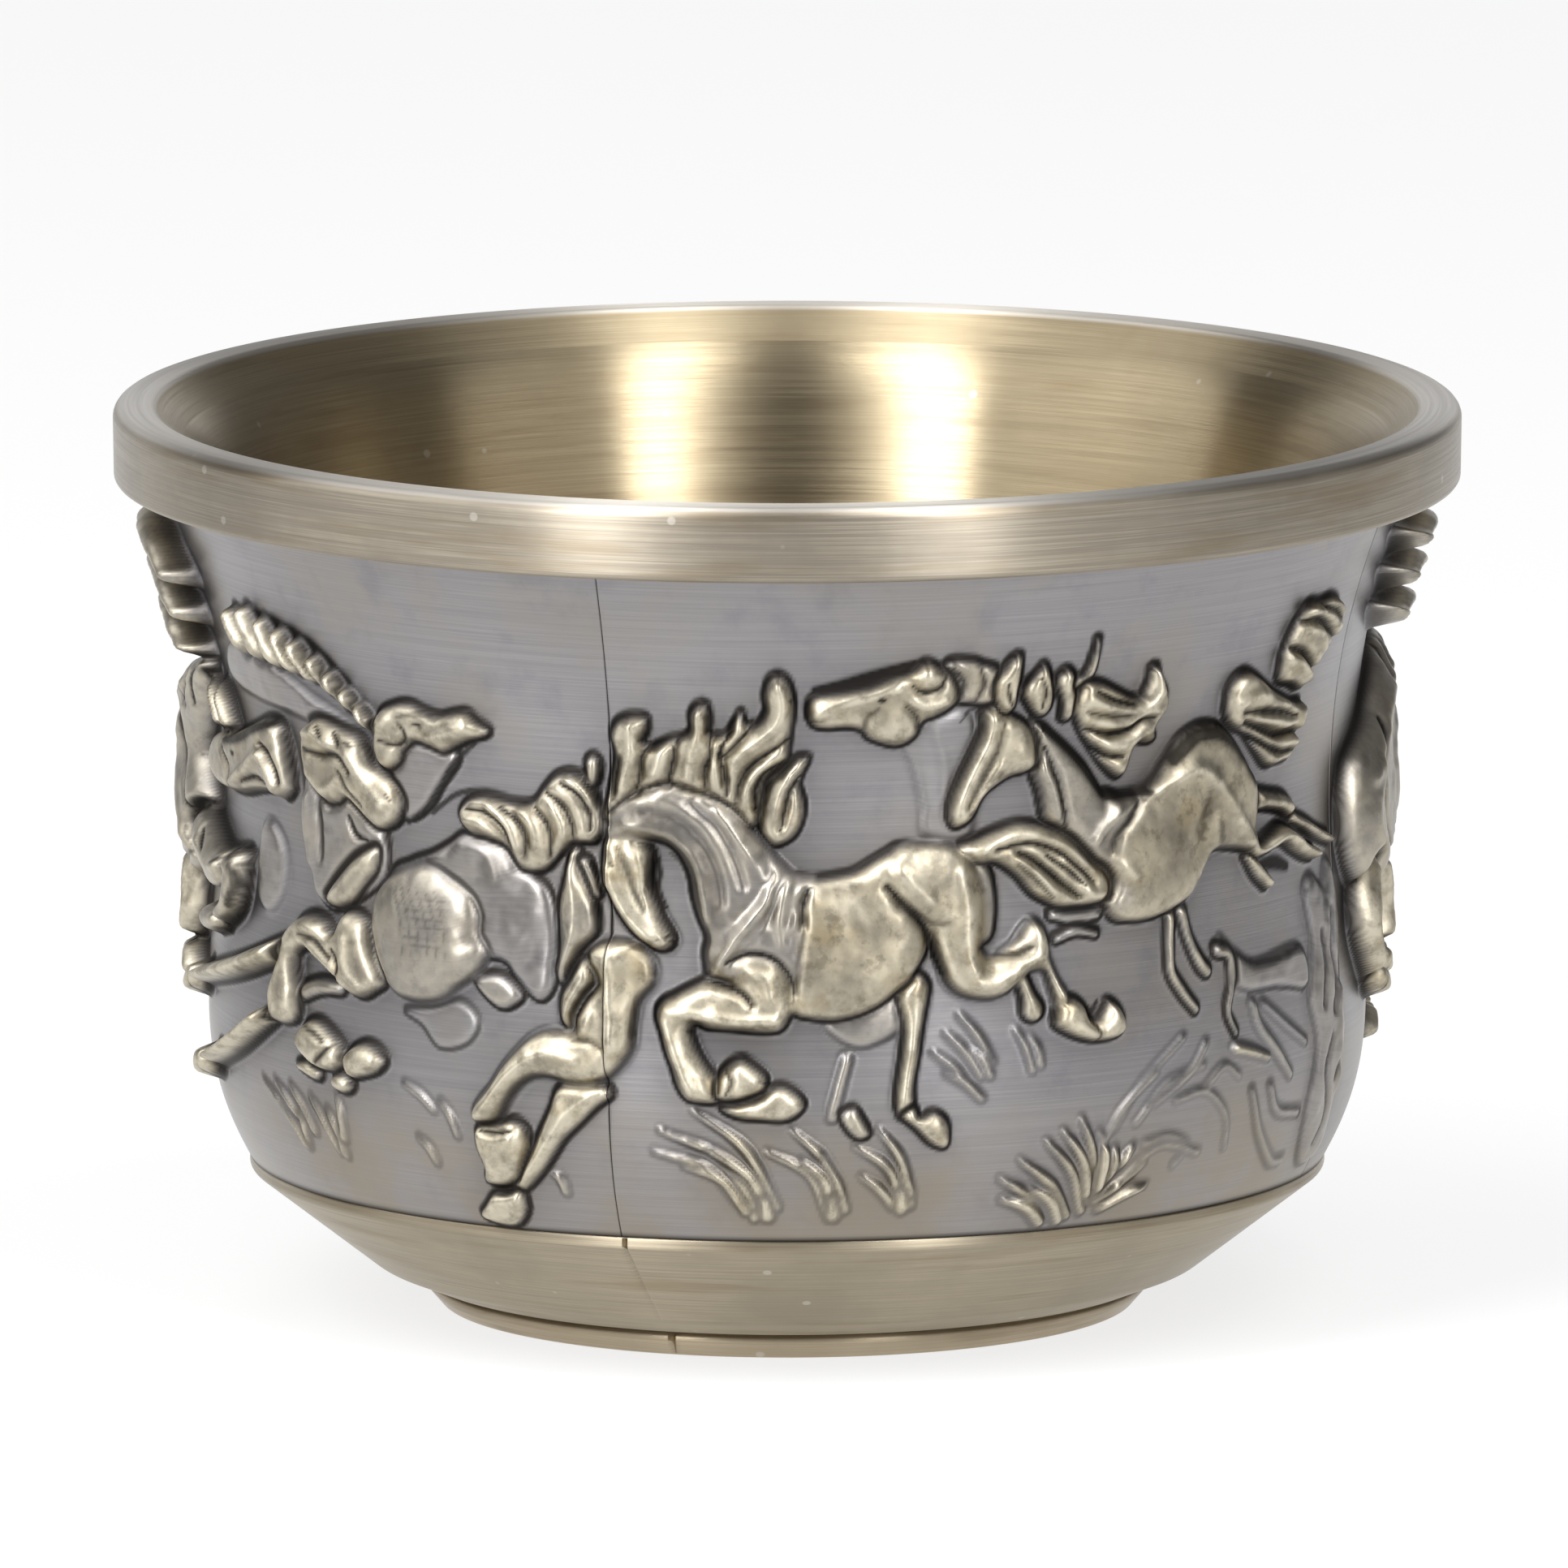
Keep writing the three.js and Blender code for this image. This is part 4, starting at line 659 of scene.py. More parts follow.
    for stops in (
        (-6.8, 30.1, -6.7, 29.2, -6.9, 28.2, -7.2, 27.2), (-5.4, 29.0, -5.6, 28.2, -5.9, 27.5),
        (-3.8, 30.8, -3.8, 29.8, -4.1, 28.8, -4.3, 27.7),
        (-0.4, 32.1, -0.2, 31.2, -0.4, 30.3, -1.2, 29.5, -2.1, 28.8, -2.4, 28.0),
        (-0.8, 28.4, -1.5, 27.8, -1.8, 26.9), (0.1, 27.8, -0.3, 27.0, -0.5, 26.0),
        (-3.0, 29.2, -3.1, 28.3, -3.1, 27.4),
    ):
        f.ridge(0.2, 0.25, *stops)
    # barrel and back, then the croup and hind leg
    f.shape(1.5, 1.9, 0.2, 17.3, 1.0, 17.0, 2.0, 16.95, 3.0, 17.15, 4.0, 17.6, 4.8, 18.2, 5.6, 19.0,
        6.4, 20.5, 7.0, 22.5, 6.6, 24.2, 5.1, 24.6, 4.4, 24.3, 3.7, 23.9, 3.0, 23.5, 2.4, 23.35,
        1.2, 23.2, 0.2, 23.3, -0.6, 22.5, -0.9, 20.5, -0.5, 18.5, edge=0.3)
    f.swell(2.6, 22.7, 1.6, 0.3, -0.12, 5)
    f.shape(1.5, 1.3, 4.3, 23.7, 5.1, 24.6, 6.0, 24.7, 7.0, 24.6, 7.7, 24.3, 8.3, 23.6, 8.65, 22.8,
        8.8, 21.8, 8.75, 20.7, 8.6, 19.9, 9.0, 19.5, 9.7, 19.8, 10.2, 20.1, 10.6, 20.6, 10.95, 20.95,
        11.25, 20.95, 11.6, 20.6, 11.8, 20.0, 11.9, 19.2, 12.3, 18.2, 12.7, 17.5, 12.2, 17.0, 11.9, 17.9,
        11.6, 18.7, 11.0, 18.75, 10.6, 18.6, 10.2, 18.2, 9.7, 17.85, 9.0, 17.65, 8.2, 17.75, 7.5, 18.0,
        7.0, 18.5, 6.6, 19.3, 6.3, 20.2, 6.0, 20.9, 5.6, 21.4, 5.0, 22.2, 4.5, 22.9, edge=0.3, join=0.3,
        patina_and_shade=0.7)
    f.cut(0.24, 0.4, 4.3, 22.9, 5.0, 22.1, 5.7, 21.4, 6.2, 20.6, 6.4, 19.8, 6.8, 18.9)
    f.cut(0.14, 0.15, 5.8, 21.4, 6.4, 21.15, 7.0, 21.2)
    f.cut(0.18, 0.25, 9.2, 19.6, 10.0, 19.6, 10.8, 19.9)
    f.ridge(0.3, 0.15, 4.8, 23.6, 5.5, 22.8, 6.2, 22.2)
    f.ridge(0.36, 0.18, 7.6, 23.4, 7.9, 22.0, 7.9, 20.4, 8.1, 19.0)
    f.ridge(0.28, 0.2, 8.2, 18.4, 9.4, 18.5, 10.6, 19.2, 11.4, 19.6)
    f.ridge(0.2, 0.15, 11.2, 20.5, 11.6, 19.8)
    f.shape(1.2, 0.6, 12.0, 16.3, 12.2, 17.1, 12.9, 17.4, 13.5, 17.0, 13.7, 16.5, 14.1, 16.3, 14.5, 16.7,
        14.8, 17.1, 15.3, 16.8, 15.6, 16.2, 15.5, 15.7, 15.0, 15.45, 14.0, 15.4, 13.3, 15.55, 12.6, 15.85,
        edge=0.3, join=0.2)
    f.dark_line_and_shade(0.22, 0.9, 13.7, 17.0, 14.0, 16.7, 14.3, 17.1)
    f.cut(0.12, 0.25, 13.6, 16.4, 14.0, 16.0, 14.1, 15.5)
    # neck and shoulder grow out of the body
    f.shape(1.55, 1.3, -8.05, 24.9, -7.9, 25.8, -7.3, 26.5, -6.6, 27.0, -5.8, 27.35, -5.0, 27.35,
        -4.2, 27.05, -3.2, 26.85, -2.4, 26.35, -1.6, 25.5, -0.95, 24.7, -0.3, 23.95, 0.4, 23.35,
        1.2, 23.2, 1.0, 22.5, 0.75, 21.8, 0.6, 20.8, 0.5, 19.6, 0.2, 18.4, -0.6, 18.0, -2.0, 18.5,
        -3.4, 18.85, -3.6, 19.4, -3.65, 20.0, -3.55, 20.6, -3.9, 21.5, -4.15, 22.3, -4.25, 23.1,
        -4.5, 23.8, -4.9, 24.4, -5.4, 24.75, -6.1, 24.8, -7.0, 24.6, edge=0.3, tone=0.4, join=0.3,
        patina_and_shade=0.75)
    # Painted shade: a broad dark band over the lower neck
    f.dark_line_and_shade(0.8, 0.55, -6.4, 26.0, -4.9, 25.6, -3.7, 24.4, -3.1, 22.8, -2.9, 21.4)
    f.cut(0.24, 0.2, -6.2, 26.2, -4.8, 25.9, -3.6, 24.8, -3.0, 23.4, -2.8, 22.2, patina_and_shade=0.3)
    f.cut(0.2, 0.2, -4.2, 26.6, -2.9, 25.4, -2.2, 24.0, -1.9, 22.9, patina_and_shade=0.35)
    f.cut(0.16, 0.2, -1.0, 24.4, -0.6, 23.2, -0.6, 22.2, -1.0, 21.2, patina_and_shade=0.3)
    f.cut(0.16, 0.5, 0.9, 22.8, 0.65, 22.0, 0.7, 21.2)
    f.cut(0.16, 0.15, 0.7, 21.0, 0.5, 19.8, 0.3, 18.6, patina_and_shade=0.4)
    f.cut(0.15, 0.4, -7.9, 26.0, -7.2, 26.6, -6.2, 27.2, -5.2, 27.45, -4.2, 27.2, -3.2, 26.9, -2.3, 26.35,
        -1.5, 25.45, -0.8, 24.7, patina_and_shade=0.9)
    f.ridge(0.32, 0.3, -7.0, 25.6, -5.8, 25.4, -4.8, 24.9, -4.0, 24.0, -3.7, 22.8, -3.5, 21.4)
    f.ridge(0.26, 0.12, -6.6, 26.6, -5.4, 26.8, -4.2, 26.2)
    f.ridge(0.22, 0.25, -3.0, 26.3, -2.2, 25.3, -1.5, 24.2)
    f.ridge(0.28, 0.4, -0.5, 23.3, -0.9, 22.3, -1.6, 21.4, -2.3, 20.5, -2.9, 19.5)
    f.ridge(0.24, 0.25, 0.1, 23.3, -0.2, 22.3, -0.3, 21.2, -0.2, 20.4)
    f.ridge(0.14, 0.2, 1.1, 22.8, 0.4, 21.5, 0.0, 20.9)
    # head tucked to the chest
    f.shape(1.6, 0.9, -8.1, 24.8, -8.2, 24.2, -8.25, 23.5, -8.2, 22.8, -7.9, 22.3, -7.6, 21.7, -7.1, 21.0,
        -6.6, 20.5, -6.1, 20.15, -5.6, 19.95, -5.15, 20.05, -4.95, 20.4, -5.15, 20.85, -5.5, 21.4,
        -5.7, 21.9, -5.95, 22.5, -6.0, 23.2, -5.95, 23.9, -6.1, 24.5, -6.6, 24.9, -7.5, 25.0, edge=0.4,
        join=0.3)
    f.dark_line_and_shade(0.2, 1.0, -5.85, 24.3, -5.7, 23.4, -5.75, 22.6, -5.4, 21.8)
    f.dark_line_and_shade(0.18, 0.8, -5.3, 24.3, -4.7, 23.8, -4.4, 23.0, -4.3, 22.2)
    f.cut(0.18, 0.2, -7.4, 24.6, -6.9, 23.6, -6.6, 22.6, -6.2, 21.8)
    f.ridge(0.24, 0.25, -7.9, 23.6, -7.5, 22.4, -6.8, 21.3, -6.0, 20.6)
    f.ridge(0.2, 0.15, -6.4, 24.2, -6.2, 23.2, -6.0, 22.0)
    f.dark_line_and_shade(0.12, 1.0, -5.3, 20.6, -5.1, 20.6)
    f.dark_line_and_shade(0.12, 0.7, -7.7, 23.9, -7.45, 23.7)
    f.cut(0.07, 0.2, -6.2, 20.3, -5.6, 20.5)
    # far foreleg's hoof, then the near foreleg
    f.shape(1.0, 0.6, -2.9, 13.0, -2.2, 13.2, -1.4, 13.5, -0.8, 13.9, -0.2, 14.0, 0.4, 13.7, 0.75, 13.2,
        0.4, 12.7, -0.2, 12.45, -1.2, 12.5, -2.2, 12.6, edge=0.3)
    f.shape(1.5, 0.75, 0.1, 17.1, 0.3, 18.0, -0.1, 19.2, -1.0, 19.8, -2.0, 19.7, -2.2, 18.9, -2.7, 18.65,
        -3.5, 18.75, -4.3, 18.4, -5.0, 18.0, -5.4, 17.8, -5.7, 17.4, -5.7, 16.9, -5.5, 16.3, -5.3, 15.5,
        -5.0, 14.7, -4.8, 14.0, -4.4, 13.4, -3.8, 13.25, -3.0, 13.3, -2.9, 13.9, -3.2, 14.5, -3.5, 14.9,
        -3.9, 15.6, -4.15, 16.4, -4.0, 16.75, -3.4, 16.55, -2.4, 16.5, -1.2, 16.4, -0.3, 16.5, edge=0.3,
        join=0.25)
    f.cut(0.16, 0.4, -3.4, 18.7, -2.6, 18.5, -1.9, 18.2, -1.5, 17.7)
    f.cut(0.16, 0.3, -2.6, 19.6, -1.6, 20.0, -0.6, 19.8, 0.1, 19.0, 0.3, 18.2)
    f.ridge(0.22, 0.25, -5.2, 17.4, -3.6, 17.2, -2.0, 17.0, -0.4, 17.1)
    f.ridge(0.18, 0.15, -3.4, 18.3, -2.4, 18.0)
    f.ridge(0.3, 0.2, -1.8, 19.2, -1.0, 18.9, -0.7, 18.0)
    f.ridge(0.22, 0.2, -5.3, 17.0, -5.0, 15.9, -4.5, 14.6, -4.0, 13.7)
    f.shape(1.4, 0.7, -3.0, 13.5, -3.0, 14.4, -2.6, 15.0, -2.0, 15.25, -1.4, 14.9, -0.9, 14.4, -1.0, 13.9,
        -1.6, 13.6, -2.3, 13.4, edge=0.35)
    f.cut(0.12, 0.25, -2.7, 14.9, -2.4, 14.3, -2.6, 13.7)


def side_horse(f):
    """The horse at the side of the cup, seen only in outline from the front."""
    # mane blown back and up
    for v in (30.7, 32.4, 34.1):
        f.form([[(-35.4, v - 0.7, 0.5), (-37.6, v + 0.3, 0.8), (-40.4, v + 0.9, 0.85),
            (-42.8, v + 0.7, 0.6), (-44.6, v + 1.3, 0.12)]], 2.75, edge=0.4, tone=0.6, patina_and_shade=0.6)
        f.cut(0.16, 0.3, -36.0, v - 0.8, -37.8, v, -40.4, v + 0.6, -43.0, v + 0.7, patina_and_shade=0.4)
    # body
    f.shape(2.3, 1.8, -34.6, 29.4, -36.8, 29.6, -40.0, 28.6, -43.0, 26.8, -46.6, 25.2, -47.4, 22.0,
        -45.6, 19.4, -42.0, 19.2, -38.6, 19.4, -36.4, 21.0, -36.2, 23.0, -37.6, 25.0, -36.4, 26.6,
        edge=0.35, tone=0.5)
    f.swell(-40.6, 22.8, 1.8, 1.8, 0.2)
    f.cut(0.22, 0.3, -42.4, 26.6, -43.6, 24.6, -43.3, 22.4, -42.0, 20.4)
    f.cut(0.2, 0.3, -36.8, 28.4, -38.6, 26.6, -38.9, 24.2, -37.6, 21.8)
    f.cut(0.16, 0.2, -41.8, 20.5, -39.8, 20.0, -37.8, 20.6)
    for k in range(4):
        f.cut(0.13, 0.3, -35.4 - 0.9 * k, 29.2, -36.2 - 0.9 * k, 28.4, -36.6 - 0.9 * k, 27.4 - 0.2 * k)
    f.ridge(0.4, 0.2, -37.6, 28.2, -40.2, 27.3, -43.0, 25.8, -45.6, 24.4)
    f.ridge(0.5, 0.25, -44.4, 24.6, -45.8, 22.8, -45.0, 20.8)
    f.ridge(0.35, 0.25, -38.0, 27.2, -39.6, 25.4, -39.8, 23.2, -38.6, 21.2)
    # head pointing right, its muzzle curled round
    for u in (-33.4, -32.2):
        f.form([[(u, 26.9, 0.4), (u - 0.7, 28.0, 0.34), (u - 1.4, 29.0, 0.08)]], 1.4)
    f.shape(1.3, 0.7, -34.4, 26.6, -32.0, 26.9, -30.0, 27.5, -28.2, 28.1, -27.0, 28.0, -26.5, 27.2,
        -26.2, 26.2, -26.1, 25.2, -26.8, 24.6, -27.8, 24.8, -29.4, 24.6, -31.4, 24.2, -34.0, 24.2,
        -35.6, 25.2, edge=0.3, tone=0.7)
    f.dark_line_and_shade(0.36, 0.9, -32.4, 26.5, -30.4, 26.9, -28.6, 27.6, -27.2, 28.0)
    f.dark_line_and_shade(0.17, 1.0, -31.2, 26.1, -30.9, 26.1)
    f.cut(0.14, 0.35, -32.4, 24.3, -31.9, 25.2, -32.6, 26.2)
    f.cut(0.14, 0.3, -30.2, 25.0, -28.8, 25.4, -27.8, 25.2)
    f.cut(0.16, 0.4, -28.2, 27.0, -27.2, 26.4, -26.6, 25.4)
    f.ridge(0.26, 0.25, -31.4, 24.7, -29.6, 25.7, -28.0, 26.6)
    f.ridge(0.22, 0.25, -28.0, 26.4, -27.3, 25.6, -27.0, 25.0)
    # folded foreleg
    f.form([[(-36.8, 21.6, 1.3), (-33.6, 20.6, 1.05), (-31.0, 21.1, 0.75)], [(-31.0, 21.1, 0.75),
        (-31.3, 19.4, 0.55), (-33.0, 18.3, 0.45)]], 1.9, edge=0.35, tone=0.6)
    f.form([[(-33.0, 18.3, 0.55), (-34.4, 18.2, 0.75)]], 1.7, tone=0.6)
    f.dark_line_and_shade(0.2, 0.8, -32.6, 21.0, -31.0, 21.5, -30.6, 20.4, -31.0, 19.2)
    f.cut(0.18, 0.3, -35.6, 21.9, -34.6, 20.8, -34.9, 19.8)
    f.ridge(0.28, 0.2, -35.8, 21.5, -33.4, 20.8, -31.3, 21.1)
    f.shape(0.4, 0.8, -29.6, 22.8, -28.6, 23.4, -27.2, 22.4, -27.0, 20.6, -28.2, 19.4, -29.6, 20.0,
        edge=0.15, tone=0.3, patina_and_shade=0.3)
    # legs, each with its hoof
    for knee, shank, foot in (
        ((-25.8, 18.2, 0.6), (-30.6, 16.6, 0.56), (-36.2, 15.3, 0.45)),
        ((-25.8, 15.8, 0.5), (-30.0, 13.4, 0.46), (-34.0, 11.9, 0.4)),
        ((-44.6, 20.2, 1.1), (-45.6, 17.8, 0.7), (-43.9, 15.2, 0.45)),
        ((-41.0, 19.8, 0.9), (-40.4, 17.8, 0.6), (-41.2, 15.6, 0.45)),
    ):
        f.form([[knee, shank, foot]], 1.8)
        f.ridge(0.22, 0.25, *knee[:2], *shank[:2], *foot[:2])
        u, v, turn = *foot[:2], (-1 if foot[0] > -40 else 1)
        f.shape(1.8, 0.5, u - 0.1 * turn, v + 0.6, u + 0.9 * turn, v + 0.5, u + 1.9 * turn, v - 0.4,
            u + 1.5 * turn, v - 1.1, u + 0.2 * turn, v - 0.8, u - 0.4 * turn, v - 0.2, edge=0.3)
        f.cut(0.12, 0.3, u + 0.5 * turn, v + 0.6, u + 0.4 * turn, v - 0.1, u + 0.6 * turn, v - 0.9)


DRAWING = (ground, rock, head_behind, right_horse, head_above, side_horse, left_horse, centre_horse)


def lathe(name, profile, segments=256, nicks=()):
    """A closed ring or bowl: an outline of (radius, height) in millimetres turned round the axis.
    Each nick of (angle, half width, depth, foot, top) is an upright notch in its outer face."""
    extra = [a + w * k / wall_radius(WAIST_HEIGHT) for a, w, *_ in nicks for k in (-1, -0.4, 0, 0.4, 1)]
    angles = np.unique(np.concatenate([np.linspace(-math.pi, math.pi, segments, endpoint=False), extra]))
    count, sides = len(profile), len(angles)
    r, z = np.array(profile, float).T
    on_axis = r[0] == 0
    radius = np.tile(r, (sides, 1))
    for angle, width, depth, foot, top in nicks:
        share = np.clip(1 - np.abs(angles - angle) * wall_radius(WAIST_HEIGHT) / width, 0, None)
        radius -= depth * np.outer(share, (z > foot) & (z < top) & (r > r.max() - 1.0))
    points = np.stack(
        [
            (radius * np.sin(angles)[:, None]).ravel(),
            (-radius * np.cos(angles)[:, None]).ravel(),
            np.tile(z, sides),
        ],
        1,
    )
    faces = []
    for s in range(sides):
        a0, b0 = s * count, (s + 1) % sides * count
        for i in range(count - 1 if on_axis else count):
            j = (i + 1) % count
            faces.append((a0 + i, b0 + i, b0 + j, a0 + j))
    mesh = bpy.data.meshes.new(name)
    mesh.from_pydata((points * MM).tolist(), [], faces)
    made = bpy.data.objects.new(name, mesh)
    bpy.context.scene.collection.objects.link(made)
    if on_axis:
        weld_axis(mesh)
    mesh.shade_smooth()
    mesh.set_sharp_from_angle(angle=math.radians(40))
    return made


def weld_axis(mesh):
    """Joins the points that fall together on the axis."""
    work = bmesh.new()
    work.from_mesh(mesh)
    bmesh.ops.remove_doubles(work, verts=work.verts, dist=1e-7)
    work.to_mesh(mesh)
    work.free()


def rounded(corners, steps=5):
    """An outline with its corners of (radius, height, rounding) turned into arcs."""
    out = []
    count = len(corners)
    for i, (r, z, rounding) in enumerate(corners):
        here = np.array([r, z])
        if rounding == 0:
            out.append((r, z))
            continue
        before = np.array(corners[i - 1][:2]) - here
        after = np.array(corners[(i + 1) % count][:2]) - here
        lengths = np.linalg.norm(before), np.linalg.norm(after)
        before, after = before / lengths[0], after / lengths[1]
        half = math.acos(np.clip(before @ after, -1, 1)) / 2
        run = min(rounding / math.tan(half), 0.49 * min(lengths))
        rounding = run * math.tan(half)
        mid = (before + after) / np.linalg.norm(before + after)
        centre = here + mid * rounding / math.sin(half)
        start, end = here + before * run - centre, here + after * run - centre
        for t in np.linspace(0, 1, steps + 1):
            way = start * (1 - t) + end * t
            out.append(tuple(centre + way / np.linalg.norm(way) * rounding))
    return out


def finish_piece(piece, node, material):
    """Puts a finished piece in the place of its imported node."""
    piece.data.materials.append(material)
    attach(piece, "root")
    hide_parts(node)
    return piece


def rim_collar():
    """The collar, with its rounded lip and the slope inside it."""
    corners = [(COLLAR_BORE, RIM_FOOT, 0), (RIM_RADIUS - 0.05, RIM_FOOT, 0.3), (RIM_RADIUS, CUP_TOP, 0.55)]
    corners += [(28.25, CUP_TOP, 0.35), (SLOPE_FOOT, FLANGE_TOP, 0), (COLLAR_BORE, FLANGE_TOP, 0)]
    return rounded(corners, steps=6)


def inner_liner():
    """The bowl, which follows the wall inside, flares to the collar's slope and hangs by its flange."""
    heel, neck = 13.6, 36.0
    floor = round(LINER_FLOOR + LINER_THICKNESS, 3)
    z = np.linspace(heel, neck, 24)
    outer = [(wall_radius(h) - LINER_GAP, h) for h in z]
    inner = [(wall_radius(h) - LINER_GAP - LINER_THICKNESS, h) for h in z[::-1]]
    outer_heel = bezier((16.45, LINER_FLOOR), (19.4, 5.3), (23.5, 9.6), (24.17, heel), 14)
    inner_heel = bezier((23.47, heel), (22.8, 9.9), (18.9, 6.1), (15.75, floor), 14)
    flare = bezier((SLOPE_FOOT, FLANGE_TOP), (25.85, 38.1), (25.46, 36.9), inner[0], 12)
    flange = [(26.2, RIM_FOOT), (26.2, 38.2), (27.8, 38.2), (27.8, FLANGE_TOP)]
    return [
        (0, LINER_FLOOR),
        *map(tuple, outer_heel[:-1]),
        *outer,
        *flange,
        *map(tuple, flare[:-1]),
        *inner,
        *map(tuple, inner_heel[1:]),
        (8.0, floor),
        (0, floor),
    ]


def lower_band():
    """The conical band, with the ledge that the panels stand on and the seat of the plate."""
    corners = [(14.6, FOOT_TOP, 0), (16.35, FOOT_TOP, 0.15), (18.5, 2.05, 1.5), (BAND_RADIUS, 6.25, 0.25)]
    corners += [(BAND_RADIUS, BAND_TOP, 0.1), (22.35, BAND_TOP, 0), (22.35, 7.95, 0), (21.35, 7.95, 0)]
    corners += [(17.4, PLATE_TOP, 0), (17.4, PLATE_FOOT, 0), (14.6, PLATE_FOOT, 0)]
    return rounded(corners)


def foot_ring():
    """The turned ring under the band, with its spigot."""
    corners = [(13.6, 0, 0.2), (15.4, 0, 0.25), (16.05, 0.75, 0.4), (16.05, 0.95, 0.12), (15.75, 1.1, 0.05)]
    corners += [(15.75, FOOT_TOP, 0), (14.3, FOOT_TOP, 0), (14.3, 3.0, 0), (13.6, 3.0, 0)]
    return rounded(corners)


def base_plate():
    """The disc that closes the bottom, with chamfered edges."""
    low = [(16.9, PLATE_FOOT), (17.1, 3.5)]
    high = [(17.1, 4.3), (16.9, PLATE_TOP)]
    return [(0, PLATE_FOOT), (4.0, PLATE_FOOT), *low, *high, (0, PLATE_TOP)]


def relief_panel(name, frieze, fields, first_column, turn):
    """A quarter of the wall as a closed shell, with its share of the relief on the outer face."""
    columns = slice(first_column, first_column + PANEL_COLUMNS + 1)
    angle = frieze.u[columns] / FRIEZE_LENGTH * math.pi + turn
    trim = SEAM_GAP / 2 / wall_radius(WAIST_HEIGHT)
    angle[0] += trim
    angle[-1] -= trim
    bare = wall_radius(frieze.v)
    radius = bare[:, None] + fields["height"][:, columns]
    height = np.repeat(frieze.v[:, None], len(angle), 1)
    inner_z = np.linspace(WALL_TOP, WALL_FOOT, INNER_ROWS)
    tenon = wall_radius(WALL_TOP)
    more_r = np.concatenate([[tenon, tenon - WALL_THICKNESS], wall_radius(inner_z) - WALL_THICKNESS])
    more_z = np.concatenate([[TENON_TOP, TENON_TOP], inner_z])
    radius = np.vstack([radius, np.repeat(more_r[:, None], len(angle), 1)])
    height = np.vstack([height, np.repeat(more_z[:, None], len(angle), 1)])
    rows, cols = radius.shape
    points = np.stack([radius * np.sin(angle), -radius * np.cos(angle), height], -1).reshape(-1, 3) * MM
    index = np.arange(rows * cols).reshape(rows, cols)
    above = np.roll(index, -1, axis=0)
    quads = np.stack([index[:, :-1], index[:, 1:], above[:, 1:], above[:, :-1]], -1).reshape(-1, 4)
    mesh = bpy.data.meshes.new(name)
    caps = [index[::-1, 0].tolist(), index[:, -1].tolist()]
    mesh.from_pydata(points.tolist(), [], quads.tolist() + caps)
    smooth = np.ones(len(mesh.polygons), bool)
    smooth[(WALL_ROWS - 1) * (cols - 1):] = False
    mesh.polygons.foreach_set("use_smooth", smooth)
    for key in PANEL_FIELDS:
        values = np.zeros(rows * cols, np.float32)
        values[: WALL_ROWS * cols] = fields[key][:, columns].ravel()
        mesh.attributes.new(key, "FLOAT", "POINT").data.foreach_set("value", values)
    made = bpy.data.objects.new(name, mesh)
    bpy.context.scene.collection.objects.link(made)
    return made


def relief_fields(frieze):
    """The finished height, and what the colours follow: lift, hollows of patina with painted shade, crests
    of rubbed wear with painted highlight, and tone.
    """
    height = frieze.blurred(frieze.height, 1, passes=1)
    near, wide = frieze.blurred(height, 1), frieze.blurred(height, 8)
    # Hollows: the dark lines, and painted shade where the wide blur stands above the height, as in recesses
    # beside the forms
    hollow = np.maximum(frieze.patina_and_shade, np.clip((wide - height) / 0.6, 0, 1) * 0.5)
    # Dark joint lines with painted shadow under the rim's overhang and over the band
    under_rim = np.exp(-(((WALL_TOP - frieze.v) / RIM_LINE) ** 2))
    over_band = np.exp(-(((frieze.v - WALL_FOOT) / BAND_LINE) ** 2))
    hollow = np.maximum(hollow, 0.9 * np.maximum(under_rim, over_band)[:, None])
    # Crests: rubbed wear with a painted highlight on the raised edges and swells
    crest = 0.5 * np.clip((height - near) / 0.04, 0, 1) + 0.7 * np.clip((height - wide) / 0.5, 0, 1)
    random = np.random.default_rng(CASTING_SEED)
    grain = frieze.blurred(random.normal(size=height.shape), 1)
    lumps = frieze.blurred(random.normal(size=height.shape), 4)
    return {
        "height": height + (GRAIN_HEIGHT * grain + LUMP_HEIGHT * lumps) * np.clip(height / 0.5, 0, 1),
        "lift": np.clip(height / 2, 0, 1),
        "hollow": hollow,
        "crest": np.clip(crest, 0, 1),
        "tone": frieze.blurred(frieze.tone, 1),
    }


def node(tree, kind, **settings):
    """A shader node with its sockets and settings."""
    made = tree.nodes.new(kind)
    for key, value in settings.items():
        if key in made.inputs:
            made.inputs[key].default_value = value
        else:
            setattr(made, key, value)
    return made


def math_node(tree, operation, a, b=None, clamp=False):
    """A sum on sockets or numbers."""
    made = node(tree, "ShaderNodeMath", operation=operation, use_clamp=clamp)
    for socket, value in zip(made.inputs, (a, b)):
        if isinstance(value, bpy.types.NodeSocket):
            tree.links.new(value, socket)
        elif value is not None:
            socket.default_value = value
    return made.outputs[0]


def mixed(tree, share, a, b):
    """Two colours mixed by a share, each a socket or a colour."""
    made = node(tree, "ShaderNodeMix", data_type="RGBA")
    for socket, value in zip((made.inputs[0], made.inputs[6], made.inputs[7]), (share, a, b)):
        if isinstance(value, bpy.types.NodeSocket):
            tree.links.new(value, socket)
        else:
            socket.default_value = value if isinstance(value, (int, float)) else (*value, 1)
    return made.outputs[2]


def ramped(tree, value, low, high, to_low=0.0, to_high=1.0):
    """A value stretched from one range to another, smoothly and held at its ends."""
    made = node(tree, "ShaderNodeMapRange", interpolation_type="SMOOTHSTEP")
    made.inputs["From Min"].default_value = low
    made.inputs["From Max"].default_value = high
    made.inputs["To Min"].default_value = to_low
    made.inputs["To Max"].default_value = to_high
    tree.links.new(value, made.inputs["Value"])
    return made.outputs[0]


